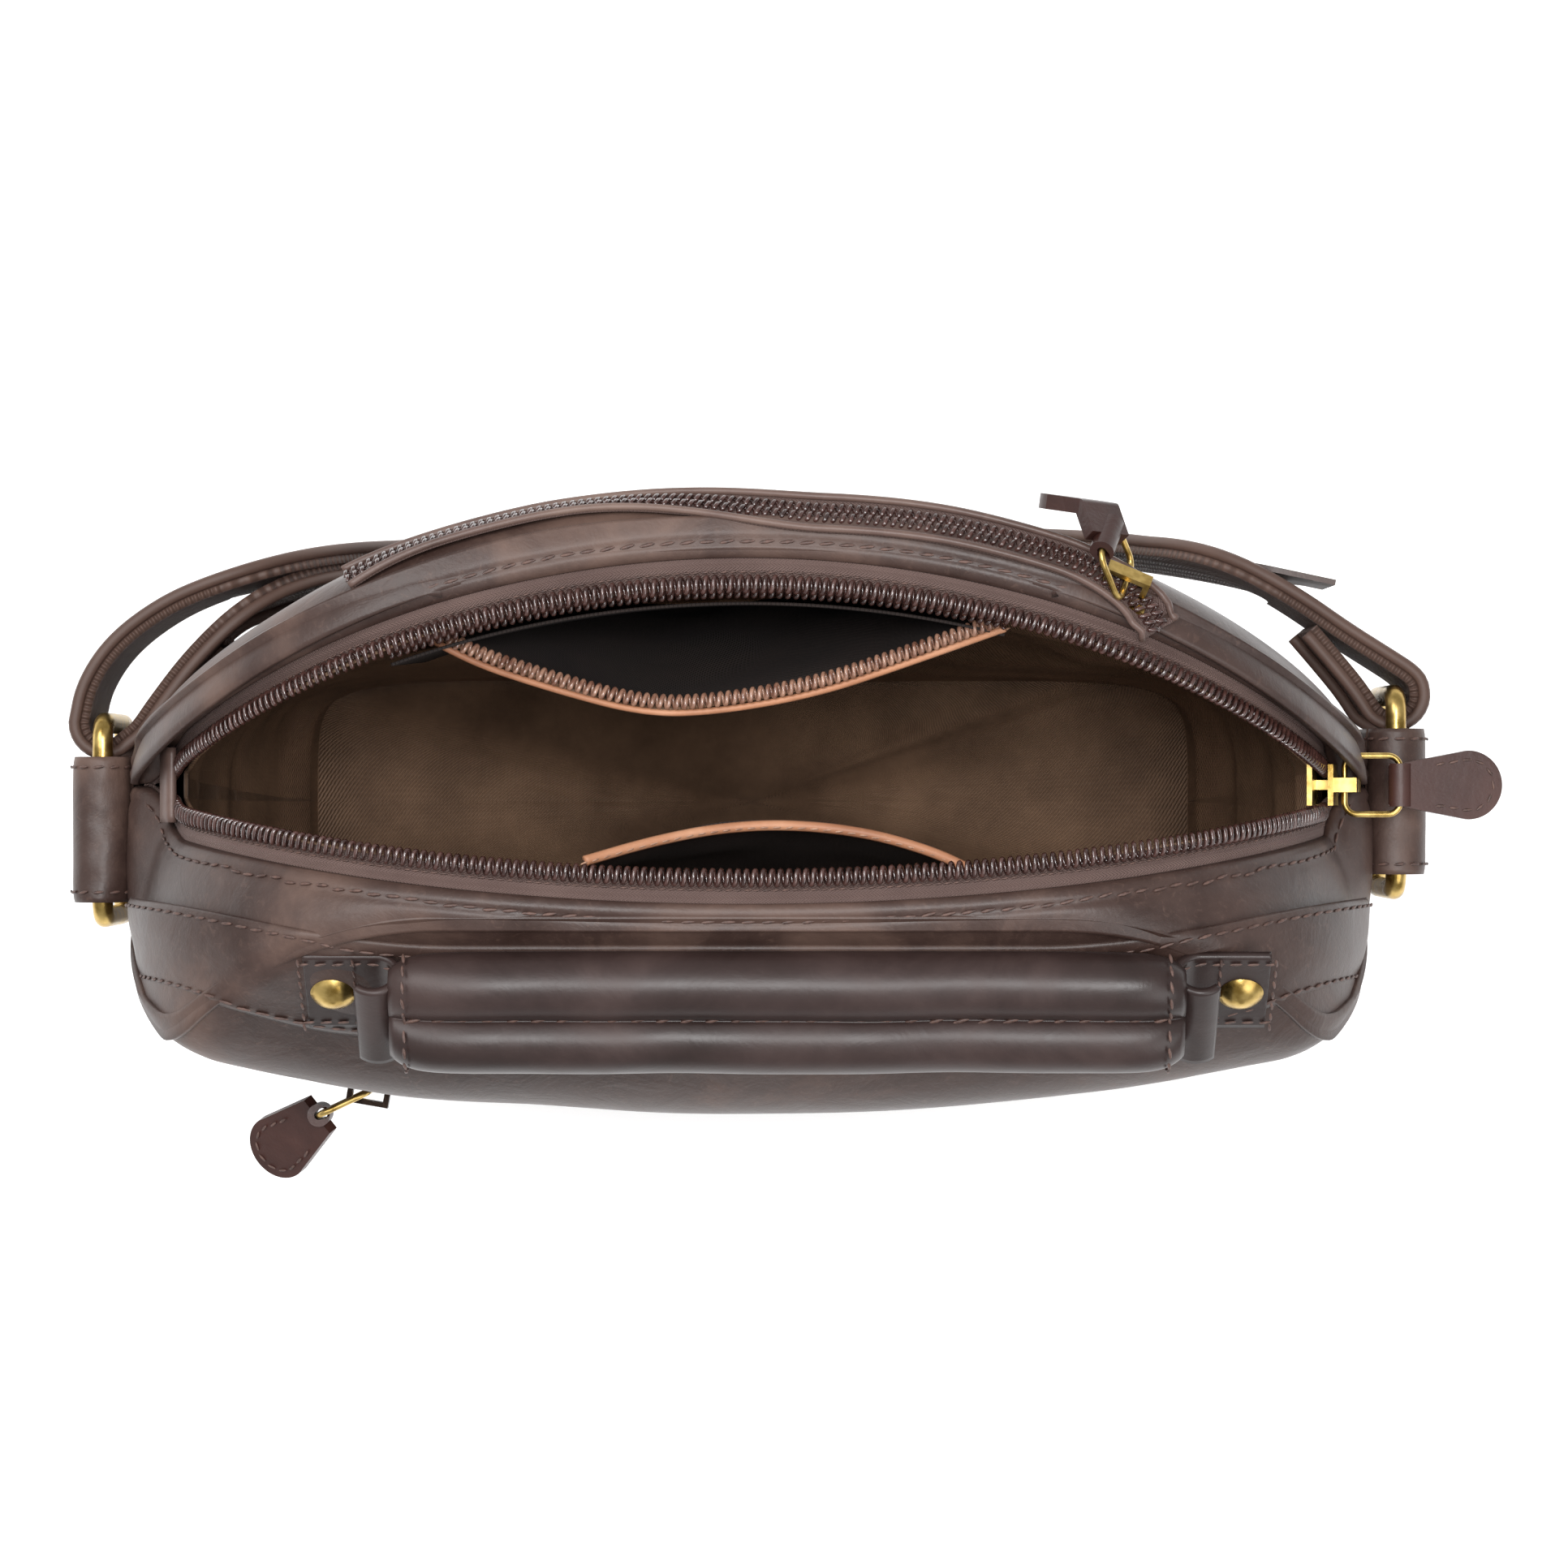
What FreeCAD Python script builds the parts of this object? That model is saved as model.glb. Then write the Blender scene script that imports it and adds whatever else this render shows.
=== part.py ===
"""Crossbody purse in dark leather, standing upright with its main zip open.

Frame: millimetres, +Z up, -Y is the front with the grab handle, +X is to the right of that front.
The origin lies on the flat base, under the middle of the bag.
Every size that can be set by itself is one row of SIZES and one cell of the sheet "sizes".
"""
import FreeCAD
import Part
import Sketcher
import math
import os

V = FreeCAD.Vector
Rotation = FreeCAD.Rotation
Placement = FreeCAD.Placement

SIZES = [
    # the body of the bag
    ("bag_width", 262.0, "outside width of the body"),
    ("bag_height", 200.0, "base to the top of the zip"),
    ("base_depth", 72.0, "depth of the flat base"),
    ("base_corner", 24.0, "radius of the lower corners seen from the front"),
    ("top_corner", 70.0, "radius of the upper corners seen from the front"),
    ("rear_bulge", 62.0, "rearmost point of the stuffed rear panel"),
    ("rear_radius", 200.0, "plan radius of the rear panel"),
    ("front_bulge", 66.0, "foremost point of the front panel"),
    ("front_radius", 480.0, "plan radius of the front panel"),
    ("end_rounding", 12.0, "plan radius of the four upright corners"),
    ("section_spare", 1.5, "how far the side section passes the plan's bulges"),
    ("shoulder", 10.0, "how far the rear panel leans in at its top edge, and how far down"),
    ("leather", 1.8, "thickness of the panel leather"),
    ("board", 2.0, "thickness of the base stiffener"),
    ("cloth", 0.8, "thickness of lining and pocket cloth"),
    ("ply_gap", 0.3, "air between two plies"),
    ("base_seam", 30.0, "where the base leather meets the side gussets"),
    ("seam_height", 112.0, "where the zip strips meet the side gussets"),
    ("yoke_height", 163.0, "lower edge of the yoke that carries the handle"),
    # main zip
    ("zip_rear", 44.0, "middle of the rear coil row, at the middle of the bag"),
    ("zip_rear_radius", 215.0, "plan radius of the rear row"),
    ("zip_front", 14.5, "middle of the front coil row, at the middle of the bag"),
    ("zip_front_radius", 560.0, "plan radius of the front row"),
    ("coil_width", 4.0, "width of one coil row"),
    ("coil_height", 2.8, "thickness of one coil row"),
    ("tape_reveal", 3.0, "tape seen between coil and leather"),
    ("tape_seam", 8.0, "tape held under the leather"),
    ("tape_thickness", 0.6, "zip tape"),
    ("zip_sink", 9.0, "how far the tape lies inside the bag's ends"),
    ("zip_corner", 69.0, "radius of the zip's path over the corners"),
    ("zip_end_height", 168.0, "lowest point of the open coil rows"),
    ("mouth_end_height", 134.0, "lowest point of the mouth at both ends"),
    # pocket zips, both closed
    ("chain_width", 6.0, "closed chain"),
    ("pocket_zip_slot", 9.0, "gap in the leather that shows the chain"),
    ("rear_zip_half", 84.0, "half the length of the rear pocket's zip"),
    ("rear_slider_angle", 22.5, "rear slider's place round the rear panel, in degrees"),
    ("front_zip_height", 112.0, "height of the front pocket's zip"),
    ("front_zip_half", 92.0, "half the length of the front pocket's zip"),
    ("front_slider_angle", 9.8, "front slider's place round the front panel, in degrees"),
    # zip hardware
    ("slider_length", 11.0, "slider along the zip"),
    ("slider_width", 8.6, "slider across the zip"),
    ("slider_plate", 1.1, "slider plate thickness"),
    ("slider_gap", 3.3, "channel between the plates"),
    ("bridge_height", 4.8, "bridge above the top plate"),
    ("bridge_width", 3.0, "bridge across the zip"),
    ("bail_width", 13.6, "outside width of the wire bail"),
    ("bail_length", 13.0, "outside length of the wire bail"),
    ("bail_wire", 1.3, "bail wire diameter"),
    ("pull_length", 21.5, "leather pull, from the bail to its round end"),
    ("pull_width", 14.5, "leather pull at its round end"),
    ("pull_neck", 9.0, "leather pull where it wraps the bail"),
    ("pull_leather", 1.5, "one layer of a leather pull"),
    ("pull_swing", 10.0, "swing of a pull on its bail that the pull is cut clear for, in degrees"),
    ("main_slider_angle", 12.0, "where the open slider stands on the corner arc, in degrees"),
    ("main_slider_side", 4.0, "sideways place of the main slider"),
    # rings and their tabs
    ("ring_wire", 4.4, "ring wire diameter"),
    ("ring_width", 46.0, "outside width of a ring, along its bar"),
    ("ring_drop", 40.0, "outside height of a hanging ring"),
    ("ring_corner", 4.0, "ring corner radius at the wire's middle"),
    ("ring_height", 126.0, "height of the ring's bar"),
    ("ring_out", 7.0, "the bar's distance from the gusset"),
    ("tab_width", 31.0, "leather tab along the bar"),
    ("tab_radius", 6.4, "outside radius of the rolled tab"),
    ("tab_tail", 30.0, "sewn tail of the tab below the bar"),
    ("tab_tail_leather", 3.0, "two layers of the sewn tail"),
    ("tab_left", -5.5, "middle of the left tab"),
    ("tab_right", 0.5, "middle of the right tab"),
    ("ring_shift", 2.0, "ring's middle behind the tab's middle"),
    ("pin_play", 0.4, "play round the bar"),
    # strap
    ("strap_width", 28.0, "webbing width"),
    ("strap_thickness", 2.2, "webbing thickness"),
    ("strap_loop", 5.5, "radius of the webbing's middle round the ring"),
    ("strap_lean", 12.0, "plan angle of the strap behind the corners, in degrees"),
    ("strap_return_lean", 49.0, "plan angle of the returning layer at the ring, in degrees"),
    ("strap_return_bend", 50.0, "radius where the returning layer joins the other"),
    ("strap_bend", 70.0, "where the strap's straight stretch meets its long curve"),
    ("strap_bend_depth", 57.5, "depth of that point"),
    ("strap_clear", 3.4, "lower edge of the strap above the ground"),
    ("strap_floor_half", 62.0, "half of the strap's lowest stretch"),
    ("strap_knee", 114.0, "where the strap starts to fall"),
    ("strap_sewn_end", 16.0, "webbing folded back and sewn at the right ring"),
    ("strap_patch", 34.0, "length of the leather patch over the sewn end"),
    ("adjuster_place", 36.0, "middle of the adjuster"),
    ("adjuster_length", 24.0, "adjuster along the strap"),
    ("adjuster_bar", 2.4, "adjuster's bars"),
    # handle
    ("handle_shift", 8.0, "handle's middle beside the bag's middle"),
    ("handle_length", 159.0, "padded handle between its end loops"),
    ("handle_lobe", 6.6, "radius of one rounded half of the cover"),
    ("handle_spacing", 12.4, "between the middles of the two halves"),
    ("handle_skin", 1.3, "leather round the padding"),
    ("handle_lift_off", 9.6, "handle's middle off the yoke"),
    ("handle_turn", 22.0, "handle's width against the yoke's slope, in degrees"),
    ("rivet_span", 183.0, "between the two rivets"),
    ("rivet_depth", 37.0, "rivets in front of the bag's middle"),
    ("rivet_head", 4.6, "radius of the domed rivet head"),
    ("rivet_shank", 1.6, "radius of the rivet's shank"),
    ("loop_leather", 1.6, "leather of the handle's end loops"),
    ("loop_radius", 3.3, "radius of the rolled end loop"),
    ("loop_width", 22.0, "end loop across the handle"),
    # inside
    ("pocket_mouth_height", 168.0, "height of the inner pockets' mouths"),
    ("inner_pocket_half", 56.0, "half the width of the inner zip pocket"),
    ("inner_pocket_lean", 13.0, "how far the inner zip pocket's lip stands forward"),
    ("slip_pocket_half", 42.0, "half the width of the slip pocket"),
    ("slip_pocket_lean", 9.0, "how far the slip pocket's lip stands backward"),
    ("trim_height", 11.0, "leather trim along a pocket's mouth"),
    ("trim_leather", 1.2, "thickness of that trim"),
]

doc = FreeCAD.newDocument("crossbody_purse")
sheet = doc.addObject("Spreadsheet::Sheet", "sizes")
for row, (alias, value, meaning) in enumerate(SIZES, start=1):
    sheet.set(f"A{row}", alias)
    sheet.set(f"B{row}", str(value))
    sheet.set(f"C{row}", meaning)
    sheet.setAlias(f"B{row}", alias)
doc.recompute()


def size(alias):
    """The number in the sheet's cell with this alias."""
    return float(getattr(sheet, alias))


nodes = {}


def keep(obj, label):
    """Name an object as a sub-part that is written to its own file."""
    obj.Label = label
    nodes[label] = obj
    return obj


def soft(label, shape, placement=None):
    """A soft or curved sub-part whose shape Part's own functions made."""
    obj = doc.addObject("Part::Feature", label)
    obj.Shape = shape
    if placement:
        obj.Placement = placement
    return keep(obj, label)


# ---------------------------------------------------------------------------
# Outlines of the body: the bag is what three extruded outlines have in common.
# ---------------------------------------------------------------------------
REACH = 400.0          # long enough to pass right through the bag
width, height = size("bag_width"), size("bag_height")
leather, cloth, gap = size("leather"), size("cloth"), size("ply_gap")


def arc3(a, b, c):
    return Part.Arc(V(*a), V(*b), V(*c)).toShape()


def line(a, b):
    return Part.LineSegment(V(*a), V(*b)).toShape()


def polar(centre, radius, degrees):
    """A point of the plan at an angle round a centre."""
    angle = math.radians(degrees)
    return (centre[0] + radius * math.cos(angle), centre[1] + radius * math.sin(angle))


def box(x0, x1, y0, y1, z0, z1):
    return Part.makeBox(x1 - x0, y1 - y0, z1 - z0, V(x0, y0, z0))


def slab(z0, z1):
    return box(-REACH, REACH, -REACH, REACH, z0, z1)


def front_block(side=0.0, top=0.0, base=0.0, corner=None):
    """Rounded rectangle seen from the front, run through along Y, set in by the three insets."""
    half, high = width / 2 - side, height - top
    upper = size("top_corner") - side if corner is None else corner
    lower = max(size("base_corner") - base, 1.0)
    corners = [(half - lower, base + lower, lower, -90), (half - upper, high - upper, upper, 0),
               (upper - half, high - upper, upper, 90), (lower - half, base + lower, lower, 180)]
    arcs = []
    for x, z, r, start in corners:
        spots = [polar((x, z), r, start + turn) for turn in (0, 45, 90)]
        arcs.append([(x, -REACH / 2, z) for x, z in spots])
    edges = []
    for this, after in zip(arcs, arcs[1:] + arcs[:1]):
        edges += [arc3(*this), line(this[2], after[0])]
    return Part.Face(Part.Wire(edges)).extrude(V(0, REACH, 0))


def plan_block(inset=0.0, side=None):
    """Lens seen from above, run through along Z. Without a side inset its ends stay open."""
    half = width / 2 + 5 if side is None else width / 2 - side
    rear, front = size("rear_bulge") - inset, -size("front_bulge") + inset
    rear_r, front_r = size("rear_radius") - inset, size("front_radius") - inset
    rear_end = rear - rear_r + math.sqrt(rear_r ** 2 - half ** 2)
    front_end = front + front_r - math.sqrt(front_r ** 2 - half ** 2)
    low = -REACH / 4
    wire = Part.Wire([arc3((half, rear_end, low), (0, rear, low), (-half, rear_end, low)),
                      line((-half, rear_end, low), (-half, front_end, low)),
                      arc3((-half, front_end, low), (0, front, low), (half, front_end, low)),
                      line((half, front_end, low), (half, rear_end, low))])
    solid = Part.Face(wire).extrude(V(0, 0, REACH))
    if side is not None:
        upright = [e for e in solid.Edges if abs(e.tangentAt(e.FirstParameter).z) > 0.99]
        solid = solid.makeFillet(size("end_rounding") - side, upright)
    return solid.common(shoulder_turned(inset))


def shoulder_turned(inset):
    """The rear panel turned about its own axis: upright, then leaning in by 45 degrees at the top."""
    radius, lean = size("rear_radius"), size("shoulder")
    axis, shift = size("rear_bulge") - radius, inset * (math.sqrt(2) - 1)
    low, high, top = -REACH / 4, height + 60, height - inset
    spots = [(0, low), (radius - inset, low), (radius - inset, height - lean - shift),
             (radius - lean - shift, top), (radius - lean - shift, high), (0, high), (0, low)]
    profile = Part.makePolygon([V(x, 0, z) for x, z in spots])
    turned = Part.Face(profile).revolve(V(0, 0, 0), V(0, 0, 1), 360)
    turned.translate(V(0, axis, 0))
    return turned


def side_block(inset=0.0, open_base=False):
    """Section through the middle, seen from the side and open above, run through along X."""
    # The section stands a little outside the plan's outline, which cuts it at the bulges.
    half = size("base_depth") / 2
    rear, front = size("rear_bulge") + size("section_spare"), -size("front_bulge") - size("section_spare")
    above = height + 20
    slope_top, slope_foot = SLOPE_TOP, SLOPE_FOOT
    belly_rear, belly_front = 0.66 * height, size("front_zip_height") + 4
    chest = (slope_foot[1] + belly_front) / 2
    points = {"base": [(-half, 0), (half, 0)],
              "rear": [(half, 0), (half + 0.74 * (rear - half), 0.36 * height), (rear, belly_rear)],
              "chest": [slope_foot, (front + 1.25, chest), (front, belly_front)],
              "front": [(front, belly_front), (-half + 0.74 * (front + half), 0.3 * height), (-half, 0)]}
    spots = {name: [(-REACH / 2, y, z) for y, z in spot] for name, spot in points.items()}
    tall = [(-REACH / 2, y, z) for y, z in ((rear, belly_rear), (rear, above), slope_top, slope_foot)]
    wire = Part.Wire([line(*spots["base"]), arc3(*spots["rear"]), line(tall[0], tall[1]),
                      line(tall[1], tall[2]), line(tall[2], tall[3]), arc3(*spots["chest"]),
                      arc3(*spots["front"])])
    if inset:
        wire = wire.makeOffset2D(-inset)
    block = Part.Face(wire).extrude(V(REACH, 0, 0))
    if open_base:
        edge = half - inset + leather / 2
        block = block.fuse(box(-REACH / 2, REACH / 2, -edge, edge, -inset - 5, 2 * inset))
    return block


# The yoke slopes down from the zip to the front; both ends of the slope, as depth and height.
SLOPE_TOP = (-8.0, height + 16)
SLOPE_FOOT = (-size("front_bulge") + 5, height - 42)

# Plan arcs of the two zip rows: a tall cylinder whose wall is the row's middle line.
rear_axis = size("zip_rear") - size("zip_rear_radius")
front_axis = size("zip_front_radius") - size("zip_front")


def rear_round(offset):
    """Everything nearer the rear row's centre than the row plus an offset."""
    return Part.makeCylinder(size("zip_rear_radius") + offset, REACH, V(0, rear_axis, 0))


def front_round(offset):
    return Part.makeCylinder(size("zip_front_radius") + offset, REACH, V(0, front_axis, 0))


def zip_layer(upper, lower):
    """A layer that follows the zip over the top, between two depths under the strips."""
    sink, corner = size("zip_sink"), size("zip_corner")
    outside = front_block(sink + upper, leather + upper, 0, corner - upper)
    return outside.cut(front_block(sink + lower, leather + lower, 0, corner - lower))


REAR_HALF = box(-REACH, REACH, 0, REACH, -REACH, REACH)
FRONT_HALF = box(-REACH, REACH, -REACH, 0, -REACH, REACH)
LEFT_HALF = box(-REACH, 0, -REACH, REACH, -REACH, REACH)
RIGHT_HALF = box(0, REACH, -REACH, REACH, -REACH, REACH)
coil_half = size("coil_width") / 2
strip_edge = coil_half + size("tape_reveal")
tape_edge = strip_edge + size("tape_seam")
mouth = rear_round(strip_edge).common(front_round(strip_edge)).common(slab(size("mouth_end_height"), REACH))


def wall_layer(upper, lower):
    """A layer of the front and rear walls, between two depths under the leather's outside."""
    return plan_block(upper).common(side_block(upper, True)).cut(
        plan_block(lower).common(side_block(lower, True)))


# ---------------------------------------------------------------------------
# Leather body: one closed skin, carved into the panels it is sewn from.
# ---------------------------------------------------------------------------
def leather_body():
    outer = plan_block(0.0, 0.0).common(front_block()).common(side_block()).cut(end_dip())
    depth_inside = plan_block(leather).common(side_block(leather, True))
    walls = outer.cut(depth_inside)
    belt = outer.common(depth_inside)
    low, high = slab(-REACH, size("seam_height")), slab(size("seam_height"), REACH)
    low_belt = belt.common(low).cut(front_block(leather, leather, leather))
    zip_path = front_block(size("zip_sink"), leather, 0, size("zip_corner"))
    high_belt = belt.common(high).cut(zip_path).cut(mouth)
    base = slab(-1, size("base_seam"))
    yoke = slab(size("yoke_height"), REACH)
    rear_slot, front_slot = pocket_slot("rear", REAR_HALF), pocket_slot("front", FRONT_HALF)
    rear_wall, front_wall = walls.common(REAR_HALF), walls.common(FRONT_HALF)
    shoulder = slab(pocket_level("rear", size("pocket_zip_slot") / 2), REACH)
    soft("rear_panel", rear_wall.cut(shoulder).cut(mouth).cut(rear_slot))
    soft("front_panel", front_wall.cut(yoke).cut(front_slot))
    yoke_skin = front_wall.common(yoke).cut(mouth)
    strip = high_belt.common(FRONT_HALF)
    cap_depth = leather + 1.1
    for middle in rivet_places():
        yoke_skin = yoke_skin.cut(Part.makeCylinder(size("rivet_shank"), 30, middle - NORMAL * 15, NORMAL))
        strip = strip.cut(Part.makeCylinder(size("rivet_head"), 30, middle - NORMAL * cap_depth, NORMAL))
    soft("front_yoke", yoke_skin)
    soft("base_panel", low_belt.common(base))
    soft("gusset_left", low_belt.cut(base).common(LEFT_HALF))
    soft("gusset_right", low_belt.cut(base).common(RIGHT_HALF))
    rear_top = high_belt.common(REAR_HALF).fuse(rear_wall.common(shoulder).cut(mouth)).removeSplitter()
    soft("top_strip_rear", rear_top)
    soft("top_strip_front", strip)


def end_dip():
    """Where the strips dip beside the zip at both ends, so that the bail passes over them."""
    middle, half = size("main_slider_side"), size("bail_width") / 2 + 1.5
    band = box(-REACH, REACH, middle - half, middle + half, size("mouth_end_height"), REACH)
    return band.cut(front_block(size("zip_sink") - leather, 0, 0, size("zip_corner") + leather))


def pocket_level(name, shift):
    """Height of a line beside a pocket zip's middle, the shift measured over the leather."""
    if name == "front":
        return size("front_zip_height") + shift
    return height - size("shoulder") / 2 + shift / math.sqrt(2)


def pocket_slot(name, half):
    opening, half_length = size("pocket_zip_slot") / 2, size(name + "_zip_half")
    low, high = pocket_level(name, -opening), pocket_level(name, opening)
    return box(-half_length, half_length, -REACH, REACH, low, high).common(half)


# ---------------------------------------------------------------------------
# Main zip: two tapes and two coil rows that run over the top and down both ends.
# ---------------------------------------------------------------------------
def main_zip():
    reach = slab(size("zip_end_height"), REACH)
    inside = plan_block(leather).common(side_block(leather))
    tape, coil = zip_layer(0.0, size("tape_thickness")), zip_layer(-1.2, size("coil_height") - 1.2)
    for name, row, half in (("rear", rear_round, REAR_HALF), ("front", front_round, FRONT_HALF)):
        zone = half if name == "front" else box(-REACH, REACH, 2, REACH, -REACH, REACH)
        lanes = {"main_tape_" + name: (tape, row(tape_edge).cut(row(coil_half))),
                 "main_coil_" + name: (coil, row(coil_half).cut(row(-coil_half)))}
        for label, (layer, lane) in lanes.items():
            soft(label, layer.common(lane).common(reach).common(zone).common(inside))
    end = width / 2 - size("zip_sink") - 3
    stop = doc.addObject("Part::Box", "zip_stop")
    for key, expression in (("Length", "sizes.coil_height + 2.2"), ("Width", "sizes.slider_width + 4"),
                            ("Height", "7")):
        stop.setExpression(key, expression)
    stop.Placement.Base = V(-end + 1.5, size("main_slider_side") - (size("slider_width") + 4) / 2,
                            size("zip_end_height") - 7)
    keep(stop, "main_zip_stop")


# ---------------------------------------------------------------------------
# Pocket zips: a chain in a slot of the leather, a tape behind it and a cloth bag behind that.
# ---------------------------------------------------------------------------
def pocket_zip(name, half, bag_low):
    edge, chain = size("pocket_zip_slot") / 2 + 5, size("chain_width") / 2
    half_length = size(name + "_zip_half")
    tape_low, tape_high = leather, leather + size("tape_thickness")

    def zone(reach, low, high):
        return box(-reach, reach, -REACH, REACH, low, high).common(half)
    below = tape_high - leather + 0.2
    under = front_block(size("zip_sink") + below, leather + below, 0, size("zip_corner") - below)
    top = min(pocket_level(name, edge), height - tape_high - gap)
    sewn = zone(half_length + 4, pocket_level(name, -edge), top).common(under)
    soft(name + "_zip_tape", wall_layer(tape_low, tape_high).common(sewn))
    teeth = zone(half_length - 2, pocket_level(name, -chain), pocket_level(name, chain))
    soft(name + "_zip_chain", wall_layer(0.0, leather).common(teeth))
    bag_top = tape_high + 0.1
    hung = zone(half_length + 4, bag_low, top).common(under)
    soft(name + "_pocket_bag", wall_layer(bag_top, bag_top + cloth).common(hung))


# ---------------------------------------------------------------------------
# Zip hardware, made in a frame of its own: x along the zip, y across it, z out of the bag.
# ---------------------------------------------------------------------------
def block(label, length, breadth, tall, x, y, z, placement):
    """A box bound to the sheet, centred at x and y, from z up, in the hardware's own frame."""
    obj = doc.addObject("Part::Box", label)
    for key, expression in (("Length", length), ("Width", breadth), ("Height", tall)):
        obj.setExpression(key, expression)
    doc.recompute()
    corner = V(x - obj.Length.Value / 2, y - obj.Width.Value / 2, z)
    obj.Placement = placement.multiply(Placement(corner, Rotation()))
    return obj


def slider(label, placement, both_plates):
    """Slider body: plates, the post between them and the arch that holds the bail."""
    plate, channel, arch = size("slider_plate"), size("slider_gap"), size("bridge_height")
    top = channel / 2 if both_plates else 0.3
    long, wide, thin = "sizes.slider_length", "sizes.slider_width", "sizes.slider_plate"
    pieces = [block(label + "_top", long, wide, thin, 0, 0, top, placement)]
    if both_plates:
        pieces.append(block(label + "_bottom", long, wide, thin, 0, 0, -top - plate, placement))
        post = size("slider_length") / 2 - 2
        pieces.append(block(label + "_post", "2.4", "2", "sizes.slider_gap", post, 0, -top, placement))
    foot = size("slider_length") / 2 - 1.5
    for x, name in ((-foot, "_heel"), (foot, "_toe")):
        pieces.append(block(label + name, "1.2", "sizes.bridge_width", "sizes.bridge_height",
                            x, 0, top + plate, placement))
    pieces.append(block(label + "_arch", "sizes.slider_length - 1.8", "sizes.bridge_width", "1.1",
                        0, 0, top + plate + arch - 1.1, placement))
    fused = doc.addObject("Part::MultiFuse", label)
    fused.Shapes = pieces
    keep(fused, label)
    return top + plate + (arch - 1.1) / 2


def wire_loop(long, wide, corner, wire):
    """A closed loop of round wire in the plane of x and y; its first bar lies on the y axis."""
    r, x1, y1 = wire / 2, long - wire, (wide - wire) / 2
    loop = None
    bars = [((0, corner - y1, 0), (0, 1, 0), 2 * (y1 - corner)),
            ((x1, corner - y1, 0), (0, 1, 0), 2 * (y1 - corner)),
            ((corner, -y1, 0), (1, 0, 0), x1 - 2 * corner), ((corner, y1, 0), (1, 0, 0), x1 - 2 * corner)]
    for start, along, length in bars:
        bar = Part.makeCylinder(r, length, V(*start), V(*along))
        loop = bar if loop is None else loop.fuse(bar)
    for x, y, turn in ((corner, corner - y1, 180), (x1 - corner, corner - y1, 270),
                       (x1 - corner, y1 - corner, 0), (corner, y1 - corner, 90)):
        bend = Part.makeTorus(corner, r, V(0, 0, 0), V(0, 0, 1), 0, 360, 90)
        bend.Placement = Placement(V(x, y, 0), Rotation(V(0, 0, 1), turn))
        loop = loop.fuse(bend)
    return loop.removeSplitter()


def leather_pull(droop=0.0, twist=0.0, knee=0.0):
    """A folded leather pull: an eye round the bail's bar and a blade that widens to a round end.

    The blade leaves the eye turned sideways by the droop and rolled by the twist, and its far part
    bends down by the knee, all in degrees.
    """
    skin, neck, tip = size("pull_leather"), size("pull_neck") / 2, size("pull_width") / 2
    eye = size("bail_wire") / 2 + 0.3
    bend_at = 7.0 if knee else 0.0
    long = size("pull_length") - tip - bend_at
    tube = Part.makeCylinder(eye + skin, 2 * neck, V(0, -neck, 0), V(0, 1, 0))
    blade = Part.Face(Part.Wire([line((0, -neck, -skin), (long, -tip, -skin)),
                                 arc3((long, -tip, -skin), (long + tip, 0, -skin), (long, tip, -skin)),
                                 line((long, tip, -skin), (0, neck, -skin)),
                                 line((0, neck, -skin), (0, -neck, -skin))])).extrude(V(0, 0, 2 * skin))
    if knee:
        blade.Placement = Placement(V(bend_at, 0, 0), Rotation(V(0, 1, 0), -knee))
        fold = Part.makeCylinder(skin, 2 * neck, V(bend_at, -neck, 0), V(0, 1, 0))
        root = Part.makeBox(bend_at, 2 * neck, 2 * skin, V(0, -neck, -skin))
        blade = blade.fuse(fold).fuse(root)
    turned = Rotation(V(0, 0, 1), droop).multiply(Rotation(V(1, 0, 0), twist))
    blade.Placement = Placement(V(0, 0, 0), turned).multiply(blade.Placement)
    bore = Part.makeCylinder(eye, 8 * neck, V(0, -4 * neck, 0), V(0, 1, 0))
    return tube.fuse(blade).cut(bore)


def zip_hardware(name, placement, both_plates, bail_turn, pull_turn, **pull_shape):
    """Slider, wire bail and leather pull at one place; the turns are upward from the zip, in degrees."""
    bar_height = slider(name + "_slider", placement, both_plates)
    bail_frame = placement.multiply(Placement(V(0, 0, bar_height), Rotation(V(0, 1, 0), -bail_turn)))
    loop = wire_loop(size("bail_length"), size("bail_width"), 2.6, size("bail_wire"))
    soft(name + "_bail", loop, bail_frame)
    far_bar = size("bail_length") - size("bail_wire")
    pull_frame = bail_frame.multiply(Placement(V(far_bar, 0, 0), Rotation(V(0, 1, 0), bail_turn - pull_turn)))
    pull = leather_pull(**pull_shape).cut(bail_room(far_bar, bail_turn - pull_turn))
    soft(name + "_pull", pull, pull_frame)


def bail_room(far_bar, fold):
    """Thickened shapes of the bail, as seen by a pull that swings a little on its far bar."""
    thick, wire = size("bail_wire") + 1.2, size("bail_wire") + 0.6
    wider = wire_loop(size("bail_length"), size("bail_width"), 2.6, thick)
    wider.Placement = Placement(V(0, 0, 0), Rotation(V(0, 1, 0), -fold)).multiply(
        Placement(V(0.6 - far_bar, 0, 0), Rotation()))
    room = [wider]
    for swing in (-size("pull_swing"), 0, size("pull_swing")):
        turned = wire_loop(size("bail_length") + 0.6, size("bail_width") + 0.6, 2.6, wire)
        turned.Placement = Placement(V(0, 0, 0), Rotation(V(0, 1, 0), swing - fold)).multiply(
            Placement(V(-far_bar, 0, 0), Rotation()))
        room.append(turned)
    return room


def frame_from(origin, along, out):
    """A frame at origin whose x is along and whose z is out."""
    x, z = V(*along).normalize(), V(*out).normalize()
    return Placement(V(*origin), Rotation(x, z.cross(x), z, "XZY"))


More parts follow.
